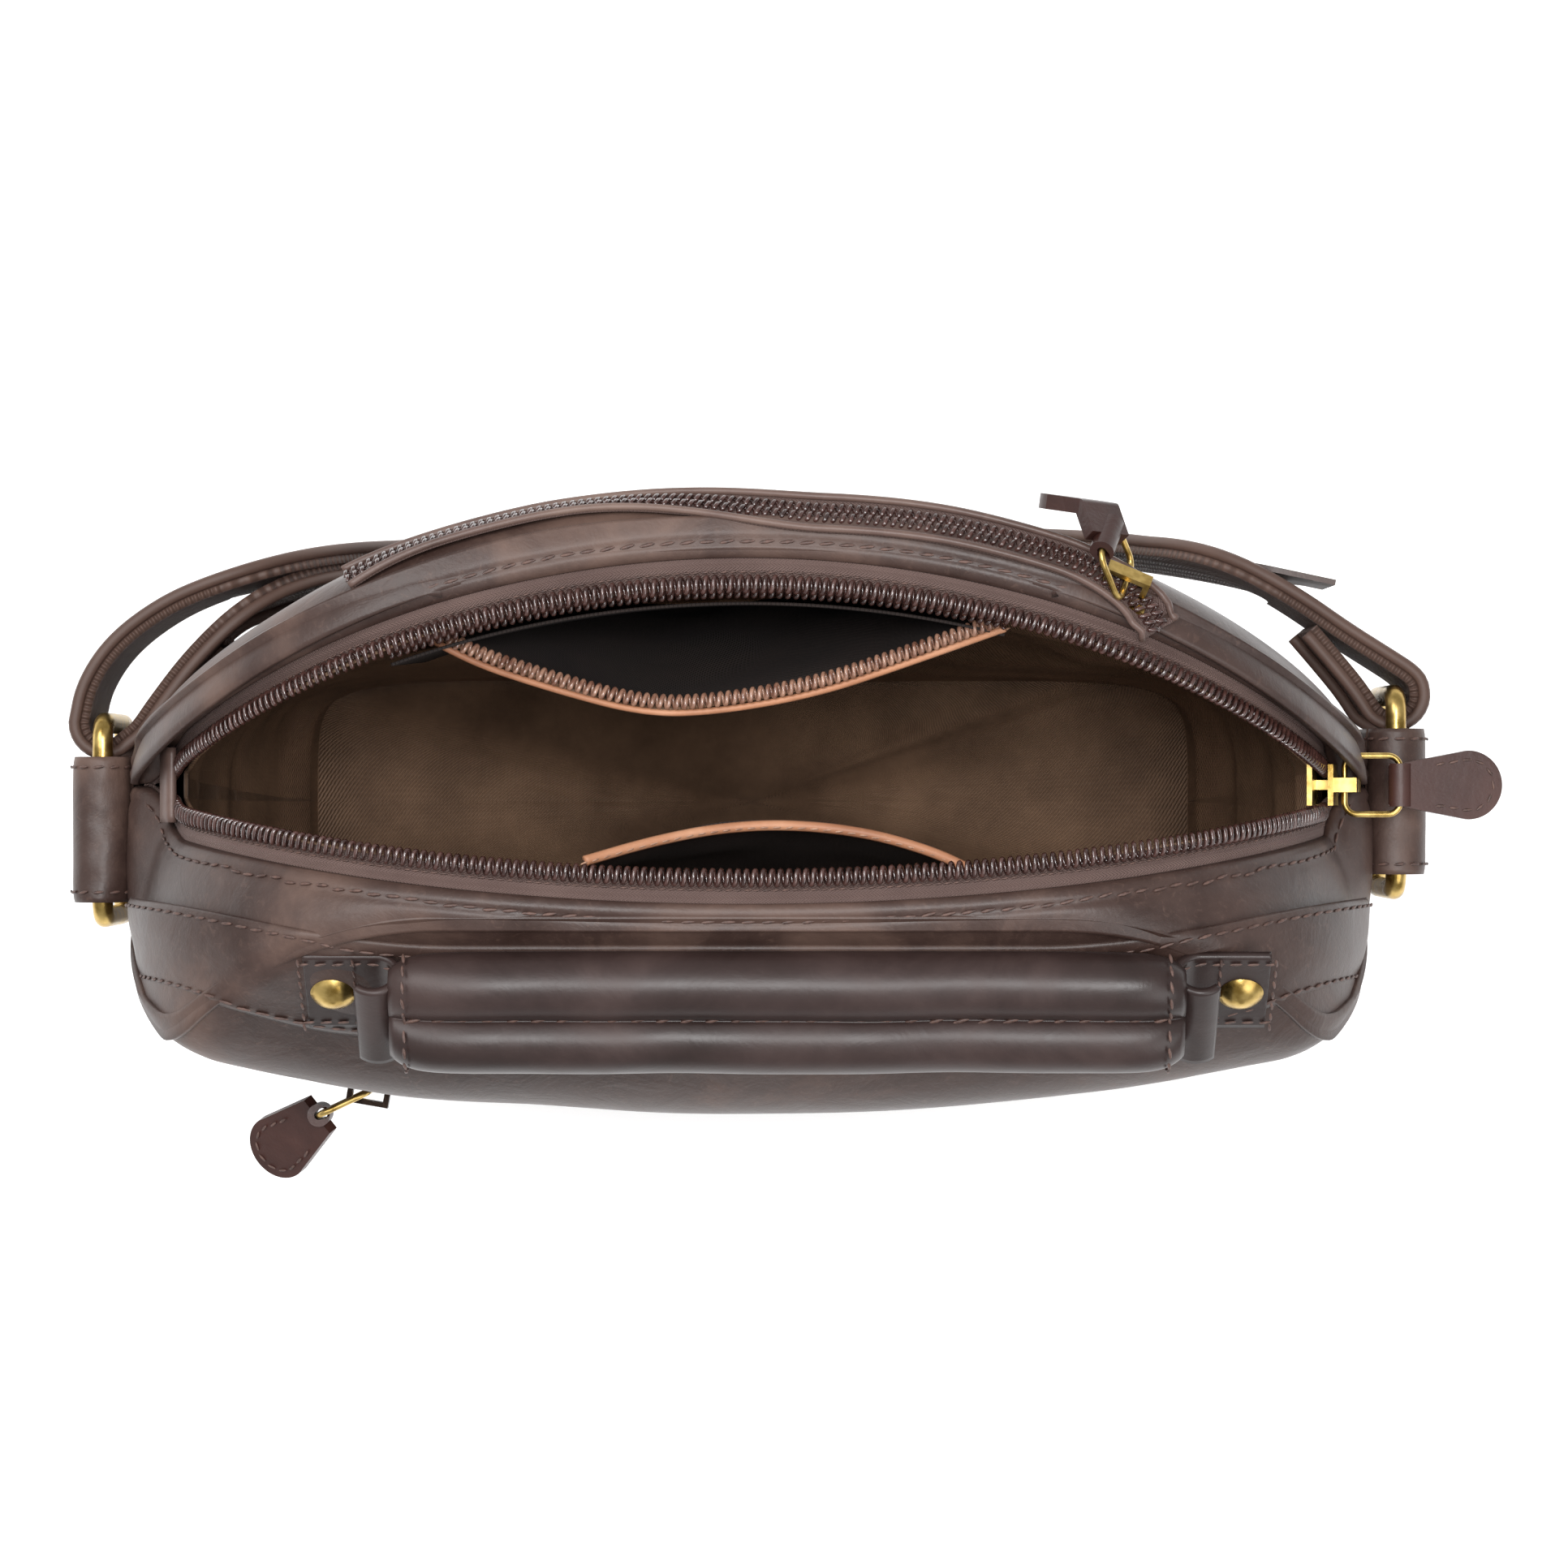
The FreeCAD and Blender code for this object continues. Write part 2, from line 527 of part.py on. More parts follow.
def all_zip_hardware():
    # The main slider stands low on the right corner arc, so its zip direction is nearly upright.
    turn = math.radians(size("main_slider_angle"))
    radius = size("zip_corner")
    centre = (width / 2 - size("zip_sink") - radius, height - leather - radius)
    out = (math.cos(turn), 0, math.sin(turn))
    along = (math.sin(turn), 0, -math.cos(turn))
    spot = (centre[0] + radius * out[0], size("main_slider_side"), centre[1] + radius * out[2])
    zip_hardware("main", frame_from(spot, along, out), True, 88 - size("main_slider_angle"),
                 84 - size("main_slider_angle"))
    # The rear slider sits on the rear panel's curve, near the zip's right end.
    turn = math.radians(size("rear_slider_angle"))
    lift = math.radians(45)
    axis = size("rear_bulge") - size("rear_radius")
    reach = size("rear_radius") - size("shoulder") / 2
    flat = (math.sin(turn), math.cos(turn))
    spot = (reach * flat[0], axis + reach * flat[1], pocket_level("rear", 0))
    out = (flat[0] * math.cos(lift), flat[1] * math.cos(lift), math.sin(lift))
    zip_hardware("rear", frame_from(spot, (flat[1], -flat[0], 0), out), False, 128, 165,
                 droop=55, knee=50)
    # The front slider sits near the left end; its pull sticks out to the left.
    turn = math.radians(size("front_slider_angle"))
    reach, axis = size("front_radius"), size("front_radius") - size("front_bulge")
    out = (-math.sin(turn), -math.cos(turn), 0)
    spot = (reach * out[0], axis + reach * out[1], size("front_zip_height"))
    zip_hardware("front", frame_from(spot, (out[1], -out[0], 0), out), False, 35, 48,
                 droop=35, twist=90)


# ---------------------------------------------------------------------------
# Bodies made of sketches: small helpers, each sketch bound to the sheet.
# ---------------------------------------------------------------------------
def plane_of(body, role):
    return [f for f in body.Origin.OriginFeatures if f.Role == role][0]


def new_sketch(body, name, role):
    sketch = body.newObject("Sketcher::SketchObject", name)
    sketch.AttachmentSupport = (plane_of(body, role), [""])
    sketch.MapMode = "FlatFace"
    return sketch


def rectangle(sketch, wide, high, x="0", y="0"):
    """A rectangle about a point, its width, height and middle given as expressions."""
    first = sketch.GeometryCount
    for a, b in (((-1, -1), (1, -1)), ((1, -1), (1, 1)), ((1, 1), (-1, 1)), ((-1, 1), (-1, -1))):
        sketch.addGeometry(Part.LineSegment(V(*a, 0), V(*b, 0)), False)
    middle = sketch.addGeometry(Part.Point(V(0, 0, 0)), True)
    for i in range(4):
        sketch.addConstraint(Sketcher.Constraint("Coincident", first + i, 2, first + (i + 1) % 4, 1))
        sketch.addConstraint(Sketcher.Constraint("Horizontal" if i % 2 == 0 else "Vertical", first + i))
    sketch.addConstraint(Sketcher.Constraint("Symmetric", first, 1, first + 1, 2, middle, 1))
    for kind, args, expression in (("DistanceX", (first, 1, first, 2), wide),
                                   ("DistanceY", (first + 1, 1, first + 1, 2), high),
                                   ("DistanceX", (-1, 1, middle, 1), x), ("DistanceY", (-1, 1, middle, 1), y)):
        index = sketch.addConstraint(Sketcher.Constraint(kind, *args, 2.0))
        sketch.setExpression(f"Constraints[{index}]", expression)


def circle(sketch, radius, x="0", y="0"):
    first = sketch.addGeometry(Part.Circle(V(0, 0, 0), V(0, 0, 1), 1.0), False)
    for kind, args, expression in (("Radius", (first,), radius), ("DistanceX", (-1, 1, first, 3), x),
                                   ("DistanceY", (-1, 1, first, 3), y)):
        index = sketch.addConstraint(Sketcher.Constraint(kind, *args, 1.0))
        sketch.setExpression(f"Constraints[{index}]", expression)


def pad(body, sketch, length, midplane=True):
    feature = body.newObject("PartDesign::Pad", "Pad")
    feature.Profile = sketch
    feature.setExpression("Length", length)
    feature.Midplane = midplane
    sketch.Visibility = False
    return feature


def pocket(body, sketch):
    feature = body.newObject("PartDesign::Pocket", "Pocket")
    feature.Profile = sketch
    feature.Type = 1
    feature.Midplane = True
    return feature


def base_board():
    """The stiffener between base leather and lining."""
    body = doc.addObject("PartDesign::Body", "base_board_body")
    plan = new_sketch(body, "board_plan", "XY_Plane")
    rectangle(plan, "sizes.bag_width - 2 * sizes.base_corner - 6", "sizes.base_depth - 2 * sizes.leather - 6")
    pad(body, plan, "sizes.board", False)
    body.setExpression(".Placement.Base.z", "sizes.leather + 0.1")
    keep(body, "base_board")


def ring_frame(side):
    """The middle of a ring's bar; side is -1 at the left and 1 at the right."""
    tab = size("tab_left") if side < 0 else size("tab_right")
    return V(side * (width / 2 + size("ring_out")), tab, size("ring_height"))


def ring_tab(label, side):
    """A leather tab rolled round the ring's bar, with a flat tail sewn to the gusset."""
    body = doc.addObject("PartDesign::Body", label + "_body")
    roll = new_sketch(body, "roll", "XZ_Plane")
    circle(roll, "sizes.tab_radius")
    pad(body, roll, "sizes.tab_width")
    tail = new_sketch(body, "tail", "XZ_Plane")
    rectangle(tail, "sizes.tab_tail_leather", "sizes.tab_tail",
              f"{-side} * (sizes.ring_out - sizes.tab_tail_leather / 2)", "-sizes.tab_tail / 2")
    pad(body, tail, "sizes.tab_width")
    bore = new_sketch(body, "bore", "XZ_Plane")
    circle(bore, "sizes.ring_wire / 2 + sizes.pin_play")
    pocket(body, bore)
    body.Placement = Placement(ring_frame(side), Rotation())
    keep(body, label)


def ring(label, side):
    """A rectangular ring of round wire that hangs from the tab by its upper bar."""
    loop = wire_loop(size("ring_drop"), size("ring_width"), size("ring_corner"), size("ring_wire"))
    middle = ring_frame(side) + V(0, size("ring_shift"), 0)
    soft(label, loop, Placement(middle, Rotation(V(0, 1, 0), 90)))


# ---------------------------------------------------------------------------
# Strap: webbing doubled from the left ring to the adjuster, single on to the right ring.
# ---------------------------------------------------------------------------
def ribbon(path, thickness):
    """An upright ribbon that follows a plan path of lines and arcs."""
    half, solid = thickness / 2, None
    for kind, *data in path:
        if kind == "line":
            (ax, ay), (bx, by) = data
            long = math.hypot(bx - ax, by - ay)
            nx, ny = -(by - ay) / long * half, (bx - ax) / long * half
            wire = Part.makePolygon([V(ax + nx, ay + ny, 0), V(bx + nx, by + ny, 0), V(bx - nx, by - ny, 0),
                                     V(ax - nx, ay - ny, 0), V(ax + nx, ay + ny, 0)])
        else:
            centre, radius, start, end = data
            spots = {(r, t): (*polar(centre, radius + r * half, start + t * (end - start)), 0)
                     for r in (-1, 1) for t in (0, 0.5, 1)}
            wire = Part.Wire([arc3(spots[1, 0], spots[1, 0.5], spots[1, 1]), line(spots[1, 1], spots[-1, 1]),
                              arc3(spots[-1, 1], spots[-1, 0.5], spots[-1, 0]),
                               line(spots[-1, 0], spots[1, 0])])
        piece = Part.Face(wire).extrude(V(0, 0, REACH / 2))
        solid = piece if solid is None else solid.fuse(piece)
    return solid.removeSplitter()


def strap_drop(strap_width):
    """The strap's fall seen from behind: level at the rings, down both sides, level at the bottom."""
    half = strap_width / 2
    low = size("strap_clear") + size("strap_width") / 2
    high = size("ring_height") - size("ring_drop") / 2 + size("ring_wire") / 2
    knee, foot = size("strap_knee"), size("strap_floor_half")
    line_points = [(-170, high), (-knee, high), (-foot, low), (foot, low), (knee, high), (170, high)]
    wire = Part.makePolygon([V(x, 0, z) for x, z in line_points])
    band = Part.Face(wire.makeOffset2D(half, 0, False, False, False))
    band.translate(V(0, -REACH / 2, 0))
    return band.extrude(V(0, REACH, 0))


def strap_side(leg, outer_radius, centre):
    """Plan path of the left side: the outer layer, the turn round the ring and the returning layer."""
    lean, back = math.radians(size("strap_lean")), math.radians(size("strap_return_lean"))
    loop, bend = size("strap_loop"), size("strap_return_bend")
    lean_deg = size("strap_lean")
    start = polar(centre, outer_radius, 90 + lean_deg)
    far = leg[0] - loop
    slope = math.tan(lean)
    rise = start[1] - leg[1] - slope * (start[0] - far)
    corner = rise / (math.cos(lean) - slope * (1 - math.sin(lean)))
    corner_centre = (far + corner, leg[1])
    turn = polar(corner_centre, corner, 90 + lean_deg)
    path = [("line", start, turn), ("arc", corner_centre, corner, 90 + lean_deg, 180),
            ("arc", leg, loop, 180, 270 + math.degrees(back))]
    inner_radius = outer_radius - size("strap_thickness") - gap
    leave = polar(leg, loop, 270 + math.degrees(back))
    join = polar(centre, inner_radius, 90 + lean_deg)
    d1, d2 = (math.cos(back), math.sin(back)), (math.cos(lean), math.sin(lean))
    cross = d1[0] * d2[1] - d1[1] * d2[0]
    reach = ((join[0] - leave[0]) * d2[1] - (join[1] - leave[1]) * d2[0]) / cross
    corner_point = (leave[0] + reach * d1[0], leave[1] + reach * d1[1])
    tangent = bend * math.tan((back - lean) / 2)
    a = (corner_point[0] - tangent * d1[0], corner_point[1] - tangent * d1[1])
    b = (corner_point[0] + tangent * d2[0], corner_point[1] + tangent * d2[1])
    bend_centre = (a[0] + bend * d1[1], a[1] - bend * d1[0])
    back_path = [("line", leave, a),
                 ("arc", bend_centre, bend, 90 + math.degrees(back), 90 + lean_deg), ("line", b, join)]
    return path, back_path, (leave, d1, start, turn)


def mirrored(path):
    """The same plan path on the other side of the bag."""
    flipped = []
    for kind, *data in path:
        if kind == "line":
            (ax, ay), (bx, by) = data
            flipped.append(("line", (-ax, ay), (-bx, by)))
        else:
            (cx, cy), radius, start, end = data
            flipped.append(("arc", (-cx, cy), radius, 180 - start, 180 - end))
    return flipped


def strap():
    thick = size("strap_thickness")
    lean = size("strap_lean")
    outer_radius = size("strap_bend") / math.sin(math.radians(lean))
    centre = (0.0, size("strap_bend_depth") - outer_radius * math.cos(math.radians(lean)))
    arm = size("ring_width") / 2 - size("ring_wire") / 2
    legs = {}
    for side in (-1, 1):
        middle = ring_frame(side)
        legs[side] = (-abs(middle.x), middle.y + size("ring_shift") + arm)
    left, left_back, _ = strap_side(legs[-1], outer_radius, centre)
    right, _, (leave, way, start, turn) = strap_side(legs[1], outer_radius, centre)
    sewn = size("strap_sewn_end")
    right.append(("line", leave, (leave[0] + sewn * way[0], leave[1] + sewn * way[1])))
    inner_radius = outer_radius - thick - gap
    end = 90 - math.degrees(size("adjuster_place") / inner_radius)
    path = [("arc", centre, outer_radius, 90 - lean, 90 + lean)] + left + left_back + mirrored(right)
    path.append(("arc", centre, inner_radius, 90 + lean, end))
    soft("strap_webbing", ribbon(path, thick).common(strap_drop(size("strap_width"))))
    # The leather patch lies on the outside of the webbing where the right end is sewn.
    patch_thick = size("trim_leather")
    lift = (thick + patch_thick) / 2
    up = (lift * math.sin(math.radians(lean)), lift * math.cos(math.radians(lean)))
    run = size("strap_patch")
    way = (math.cos(math.radians(lean)), math.sin(math.radians(lean)))
    near = (turn[0] - up[0], turn[1] + up[1])
    far = (near[0] + run * way[0], near[1] + run * way[1])
    patch = ribbon(mirrored([("line", near, far)]), patch_thick)
    soft("strap_patch", patch.common(strap_drop(size("strap_width") - 2)))
    adjuster(centre, outer_radius - (thick + gap) / 2)


def adjuster(centre, radius):
    """A sliding frame round both layers of webbing, with a window between its bars on each face."""
    body = doc.addObject("PartDesign::Body", "adjuster_body")
    face = new_sketch(body, "face", "XZ_Plane")
    rectangle(face, "sizes.adjuster_length", "sizes.strap_width + 2 * sizes.adjuster_bar + 0.8")
    channel = "2 * sizes.strap_thickness + sizes.ply_gap + 1.6"
    pad(body, face, channel + " + 2 * sizes.adjuster_bar")
    slot = new_sketch(body, "slot", "YZ_Plane")
    rectangle(slot, channel, "sizes.strap_width + 0.8")
    pocket(body, slot)
    windows = new_sketch(body, "windows", "XZ_Plane")
    window = "(sizes.adjuster_length - 3 * sizes.adjuster_bar) / 2"
    for side in ("-", ""):
        rectangle(windows, window, "sizes.strap_width - 1", f"{side}({window} + sizes.adjuster_bar) / 2")
    pocket(body, windows)
    turn = size("adjuster_place") / radius
    spot = V(radius * math.sin(turn), centre[1] + radius * math.cos(turn),
             size("strap_clear") + size("strap_width") / 2)
    body.Placement = Placement(spot, Rotation(V(0, 0, 1), -math.degrees(turn)))
    keep(body, "strap_adjuster")


# ---------------------------------------------------------------------------
# Grab handle: two padded halves side by side, its end loops and the rivets that hold them.
# ---------------------------------------------------------------------------
slope = math.atan2(SLOPE_TOP[1] - SLOPE_FOOT[1], SLOPE_TOP[0] - SLOPE_FOOT[0])
NORMAL = V(0, -math.sin(slope), math.cos(slope))
UPHILL = V(0, math.cos(slope), math.sin(slope))


def on_yoke(x, depth):
    """A point of the yoke's surface at a distance in front of the bag's middle."""
    share = (SLOPE_TOP[0] + depth) / (SLOPE_TOP[0] - SLOPE_FOOT[0])
    return V(x, -depth, SLOPE_TOP[1] - share * (SLOPE_TOP[1] - SLOPE_FOOT[1]))


def rivet_places():
    return [on_yoke(size("handle_shift") + side * size("rivet_span") / 2, size("rivet_depth"))
            for side in (-1, 1)]


def handle():
    lobe, skin, half = size("handle_lobe"), size("handle_skin"), size("handle_length") / 2
    offset = size("handle_spacing") / 2
    seat = on_yoke(size("handle_shift"), size("rivet_depth")) + NORMAL * size("handle_lift_off") + UPHILL * 3.8
    place = Placement(seat, Rotation(V(1, 0, 0), math.degrees(slope) - size("handle_turn")))
    cover = box(-half, half, -offset, offset, -lobe * 0.55, lobe * 0.55)
    padding = None
    for side in (-1, 1):
        start, along = V(-half, side * offset, 0), V(1, 0, 0)
        cover = cover.fuse(Part.makeCylinder(lobe, 2 * half, start, along))
        rod = Part.makeCylinder(lobe - skin - 0.1, 2 * half - 4, start + V(2, 0, 0), along)
        padding = rod if padding is None else padding.fuse(rod)
        cover = cover.cut(Part.makeCylinder(lobe - skin, 2 * half - 3.6, start + V(1.8, 0, 0), along))
    soft("handle_cover", cover, place)
    soft("handle_padding", padding, place)
    for label, side in (("handle_loop_left", -1), ("handle_loop_right", 1)):
        handle_loop(label, side)
    rivets()


def handle_loop(label, side):
    """A rolled leather loop with a flat foot under the rivet."""
    skin, roll, across = size("loop_leather"), size("loop_radius"), size("loop_width")
    inner = size("handle_length") / 2 + 0.5
    outer = size("rivet_span") / 2 + size("rivet_head") + 2.5
    near, far = sorted((side * inner, side * outer))
    foot = box(near, far, -across / 2, across / 2, 0, skin)
    rolled = Part.makeCylinder(roll, across, V(side * (inner + roll), -across / 2, skin + roll * 0.8),
                               V(0, 1, 0))
    hole = Part.makeCylinder(size("rivet_shank"), 20, V(side * size("rivet_span") / 2, 0, -10))
    origin = on_yoke(size("handle_shift"), size("rivet_depth"))
    place = Placement(origin, Rotation(V(1, 0, 0), math.degrees(slope)))
    soft(label, foot.fuse(rolled).cut(hole).removeSplitter(), place)


def rivets():
    """Two identical domed rivets: head outside, shank through loop and yoke, cap inside."""
    head, shank, skin = size("rivet_head"), size("rivet_shank"), size("loop_leather")
    pieces = []
    for spot in rivet_places():
        dome_radius = (head ** 2 + 2.2 ** 2) / (2 * 2.2)
        dome = Part.makeSphere(dome_radius, V(0, 0, skin + 2.2 - dome_radius)).common(
            Part.makeCylinder(head, 5, V(0, 0, skin)))
        pin = Part.makeCylinder(shank, skin + leather, V(0, 0, -leather))
        cap = Part.makeCylinder(head - 1.2, 0.9, V(0, 0, -leather - 0.9))
        rivet = dome.fuse(pin).fuse(cap)
        rivet.Placement = Placement(spot, Rotation(V(1, 0, 0), math.degrees(slope)))
        pieces.append(rivet)
    soft("handle_rivets", Part.makeCompound(pieces))


# ---------------------------------------------------------------------------
# Inside: the lining, a zip pocket on its rear wall and a slip pocket on its front wall.
# ---------------------------------------------------------------------------
lining_depth = leather + size("tape_thickness") + cloth + 2 * gap + 0.2
lining_side = size("zip_sink") + size("coil_height") - 1.2 + gap
lining_base = leather + size("board") + 2 * gap
FRONT_LEAN = (-size("base_depth") / 2 + 6, -size("zip_front") - strip_edge + 1)


def lining_front(z, inset=0.0):
    """Depth of the lining's leaning front wall at a height."""
    return FRONT_LEAN[0] + (FRONT_LEAN[1] - FRONT_LEAN[0]) * z / height + inset


def lining_block(inset):
    depth = lining_depth + inset
    wedge = Part.makePolygon([V(-REACH / 2, lining_front(0, inset), 0),
                              V(-REACH / 2, lining_front(height, inset), height),
                              V(-REACH / 2, REACH / 2, height), V(-REACH / 2, REACH / 2, 0),
                              V(-REACH / 2, lining_front(0, inset), 0)])
    room = Part.Face(wedge).extrude(V(REACH, 0, 0))
    corner = size("zip_corner") - size("coil_height") + 1.2 - gap - inset
    shape = front_block(lining_side + inset, lining_depth + 1 + inset, lining_base + inset, corner)
    return plan_block(depth).common(side_block(depth, True)).common(shape).common(room)


def lip(chord_depth, lean, half, offset, thickness, z0, z1, middle=0.0):
    """A standing wall whose plan is an arc; lean is how far its middle stands off the chord."""
    radius = (half ** 2 + lean ** 2) / (2 * abs(lean))
    centre_y = chord_depth + lean - math.copysign(radius, lean)
    outer = Part.makeCylinder(radius + offset + thickness, z1 - z0, V(middle, centre_y, z0))
    wall = outer.cut(Part.makeCylinder(radius + offset, z1 - z0, V(middle, centre_y, z0)))
    low = centre_y - REACH if lean < 0 else chord_depth
    high = chord_depth if lean < 0 else centre_y + REACH
    return wall.common(box(middle - half, middle + half, low, high, z0, z1))


def inside():
    hollow = lining_block(cloth)
    opening = rear_round(coil_half + 1).common(front_round(coil_half + 1)).common(
        slab(size("mouth_end_height") - 2, REACH))
    soft("lining", lining_block(0.0).cut(hollow).cut(opening))
    top, trim, skin = size("pocket_mouth_height"), size("trim_height"), size("trim_leather")
    # Zip pocket: its lip stands forward of the rear wall, so its mouth shows as a dark gap.
    half, middle = size("inner_pocket_half"), -9.0
    chord = 33.0
    lean = -size("inner_pocket_lean")
    room = hollow
    soft("inner_pocket_cloth", lip(chord, lean, half, 0, cloth, 70, top, middle).common(room))
    soft("inner_pocket_trim", lip(chord, lean, half, cloth, skin, top - trim - 3, top - 3, middle).common(room))
    soft("inner_zip_front", lip(chord, lean, half, -1.2, 3.4, top, top + 2.4, middle).common(room))
    rear_depth = lining_depth + cloth
    rear_band = plan_block(rear_depth).common(side_block(rear_depth, True)).cut(
        plan_block(rear_depth + 2.4).common(side_block(rear_depth + 2.4, True)))
    soft("inner_zip_rear", rear_band.common(box(middle - half, middle + half, 0, REACH, top + 4, top + 8)))
    # Slip pocket: open at the top, its lip stands back from the front wall.
    half, middle, lean = size("slip_pocket_half"), 6.0, size("slip_pocket_lean")
    chord = lining_front(top) + cloth + 1.5
    soft("slip_pocket_cloth", lip(chord, lean, half, 0, cloth, 80, top - trim + 3, middle).common(room))
    soft("slip_pocket_trim", lip(chord, lean, half, -0.4, skin + 0.6, top - trim + 3, top, middle).common(room))


leather_body()
main_zip()
pocket_zip("rear", REAR_HALF, 70.0)
pocket_zip("front", FRONT_HALF, 30.0)
all_zip_hardware()
base_board()
for side, name in ((-1, "left"), (1, "right")):
    ring_tab("ring_tab_" + name, side)
    ring("ring_" + name, side)
strap()
handle()
inside()

# ---------------------------------------------------------------------------
# Check every object, then write one file per sub-part.
# ---------------------------------------------------------------------------
doc.recompute()
for obj in doc.Objects:
    if "Invalid" in obj.State or "Error" in obj.State:
        raise RuntimeError(f"{obj.Label} failed: {obj.State}")
for label, obj in nodes.items():
    if obj.Shape.isNull() or not obj.Shape.isValid() or not obj.Shape.Solids:
        raise RuntimeError(f"{label} has no valid shape")
os.makedirs("parts", exist_ok=True)
for label, obj in nodes.items():
    bounds = obj.Shape.BoundBox
    print(f"{label:22s} solids {len(obj.Shape.Solids)} volume {obj.Shape.Volume:10.1f}",
          [round(v, 1) for v in (bounds.XMin, bounds.XMax, bounds.YMin, bounds.YMax, bounds.ZMin, bounds.ZMax)])
    obj.Shape.exportStep(f"parts/{label}.step")
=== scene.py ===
# %% [markdown]
# # A leather crossbody bag
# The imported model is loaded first. It is the fixed frame: every new surface takes its place from it.
# Lengths below are in millimetres, because a maker thinks in them, and one function turns them to metres.

# %% Load the frame
import bpy
import math
import numpy as np
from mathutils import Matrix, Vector


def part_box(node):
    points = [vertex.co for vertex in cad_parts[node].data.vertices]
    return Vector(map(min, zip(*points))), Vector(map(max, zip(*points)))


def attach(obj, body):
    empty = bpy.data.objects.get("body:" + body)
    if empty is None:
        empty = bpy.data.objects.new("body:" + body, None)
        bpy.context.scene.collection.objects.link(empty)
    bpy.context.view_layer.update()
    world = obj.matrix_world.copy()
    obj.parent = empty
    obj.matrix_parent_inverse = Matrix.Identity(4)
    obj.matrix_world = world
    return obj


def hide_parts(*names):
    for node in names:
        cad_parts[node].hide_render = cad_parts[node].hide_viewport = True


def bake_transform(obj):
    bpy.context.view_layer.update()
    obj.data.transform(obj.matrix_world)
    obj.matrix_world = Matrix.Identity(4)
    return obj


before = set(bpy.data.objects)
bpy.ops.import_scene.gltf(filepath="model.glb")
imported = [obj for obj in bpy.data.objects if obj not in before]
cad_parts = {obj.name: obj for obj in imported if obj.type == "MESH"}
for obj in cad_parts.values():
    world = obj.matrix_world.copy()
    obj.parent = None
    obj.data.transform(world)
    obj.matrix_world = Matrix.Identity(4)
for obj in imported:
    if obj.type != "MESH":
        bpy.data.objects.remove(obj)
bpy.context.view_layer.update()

MM = 0.001
rng = np.random.default_rng(7)


def node_box(node):
    """A CAD node's lowest and highest corners, in millimetres."""
    low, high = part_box(node)
    return np.array(low) / MM, np.array(high) / MM


BAG_HIGH = node_box("top_strip_rear")[1]
HALF = BAG_HIGH[0]                                  # half the bag's width
HEIGHT = BAG_HIGH[2]                                # base to the top of the zip
REAR, FRONT = node_box("rear_panel")[1][1], node_box("front_panel")[0][1]
print("bag half width", round(HALF, 1), "height", round(HEIGHT, 1), "depth", round(FRONT, 1), round(REAR, 1))

# %% [markdown]
# ## Helpers for numpy surfaces
# Leather is a sheet. A sheet is a grid of points worked out with numpy, given a thickness along its own
# normals, and closed round its rim, so that no live modifier is needed and every edge is a real edge.

# %% A grid of points becomes a closed sheet of leather or cloth
def unit(a):
    """Vectors divided by their own length."""
    return a / np.maximum(np.linalg.norm(a, axis=-1, keepdims=True), 1e-9)


def normals_of(P, wrap=False):
    """Normal of a grid: the cross product of its two directions of travel."""
    if wrap:
        du = np.roll(P, -1, 0) - np.roll(P, 1, 0)
    else:
        du = np.gradient(P, axis=0)
    return unit(np.cross(du, np.gradient(P, axis=1)))


def quads(nu, nv, wrap_u=False, wrap_v=False, start=0):
    """Faces of a grid, each one from a point to its neighbours along both directions."""
    i = np.arange(nu if wrap_u else nu - 1)[:, None]
    j = np.arange(nv if wrap_v else nv - 1)[None, :]
    a, b = i * nv + j, ((i + 1) % nu) * nv + j
    c, d = ((i + 1) % nu) * nv + (j + 1) % nv, i * nv + (j + 1) % nv
    return np.stack([a, b, c, d], -1).reshape(-1, 4) + start


def piece(name, points, faces, material, body, slot, replaces=(), uv=None):
    """Put points (mm) and faces into a mesh object; with a body named, it rides on that CAD body."""
    mesh = bpy.data.meshes.new(name)
    face_list = faces if isinstance(faces, list) else faces.tolist()
    mesh.from_pydata((np.asarray(points, float) * MM).tolist(), [], face_list)
    if uv is not None:
        layer = mesh.uv_layers.new(name="UVMap")
        corners = np.empty(len(mesh.loops), np.int64)
        mesh.loops.foreach_get("vertex_index", corners)
        layer.data.foreach_set("uv", (np.asarray(uv, float)[corners] * MM).ravel().astype(np.float32))
    mesh.polygons.foreach_set("use_smooth", [True] * len(mesh.polygons))
    mesh.materials.append(material)
    obj = bpy.data.objects.new(name, mesh)
    bpy.context.scene.collection.objects.link(obj)
    if body:
        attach(obj, body)
    if replaces:
        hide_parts(*replaces)
    print(f"{name}: {len(mesh.vertices)} points, {len(mesh.polygons)} faces")
    return obj


def lengths(P, axis):
    """Distance walked along a grid's direction, through its middle, spread over the grid."""
    step = np.linalg.norm(np.diff(P, axis=axis), axis=-1)
    walked = np.concatenate([np.zeros_like(np.take(step, [0], axis)), np.cumsum(step, axis)], axis)
    middle = np.take(walked, walked.shape[1 - axis] // 2, 1 - axis)
    return np.broadcast_to(middle[:, None] if axis == 0 else middle[None, :], P.shape[:2])


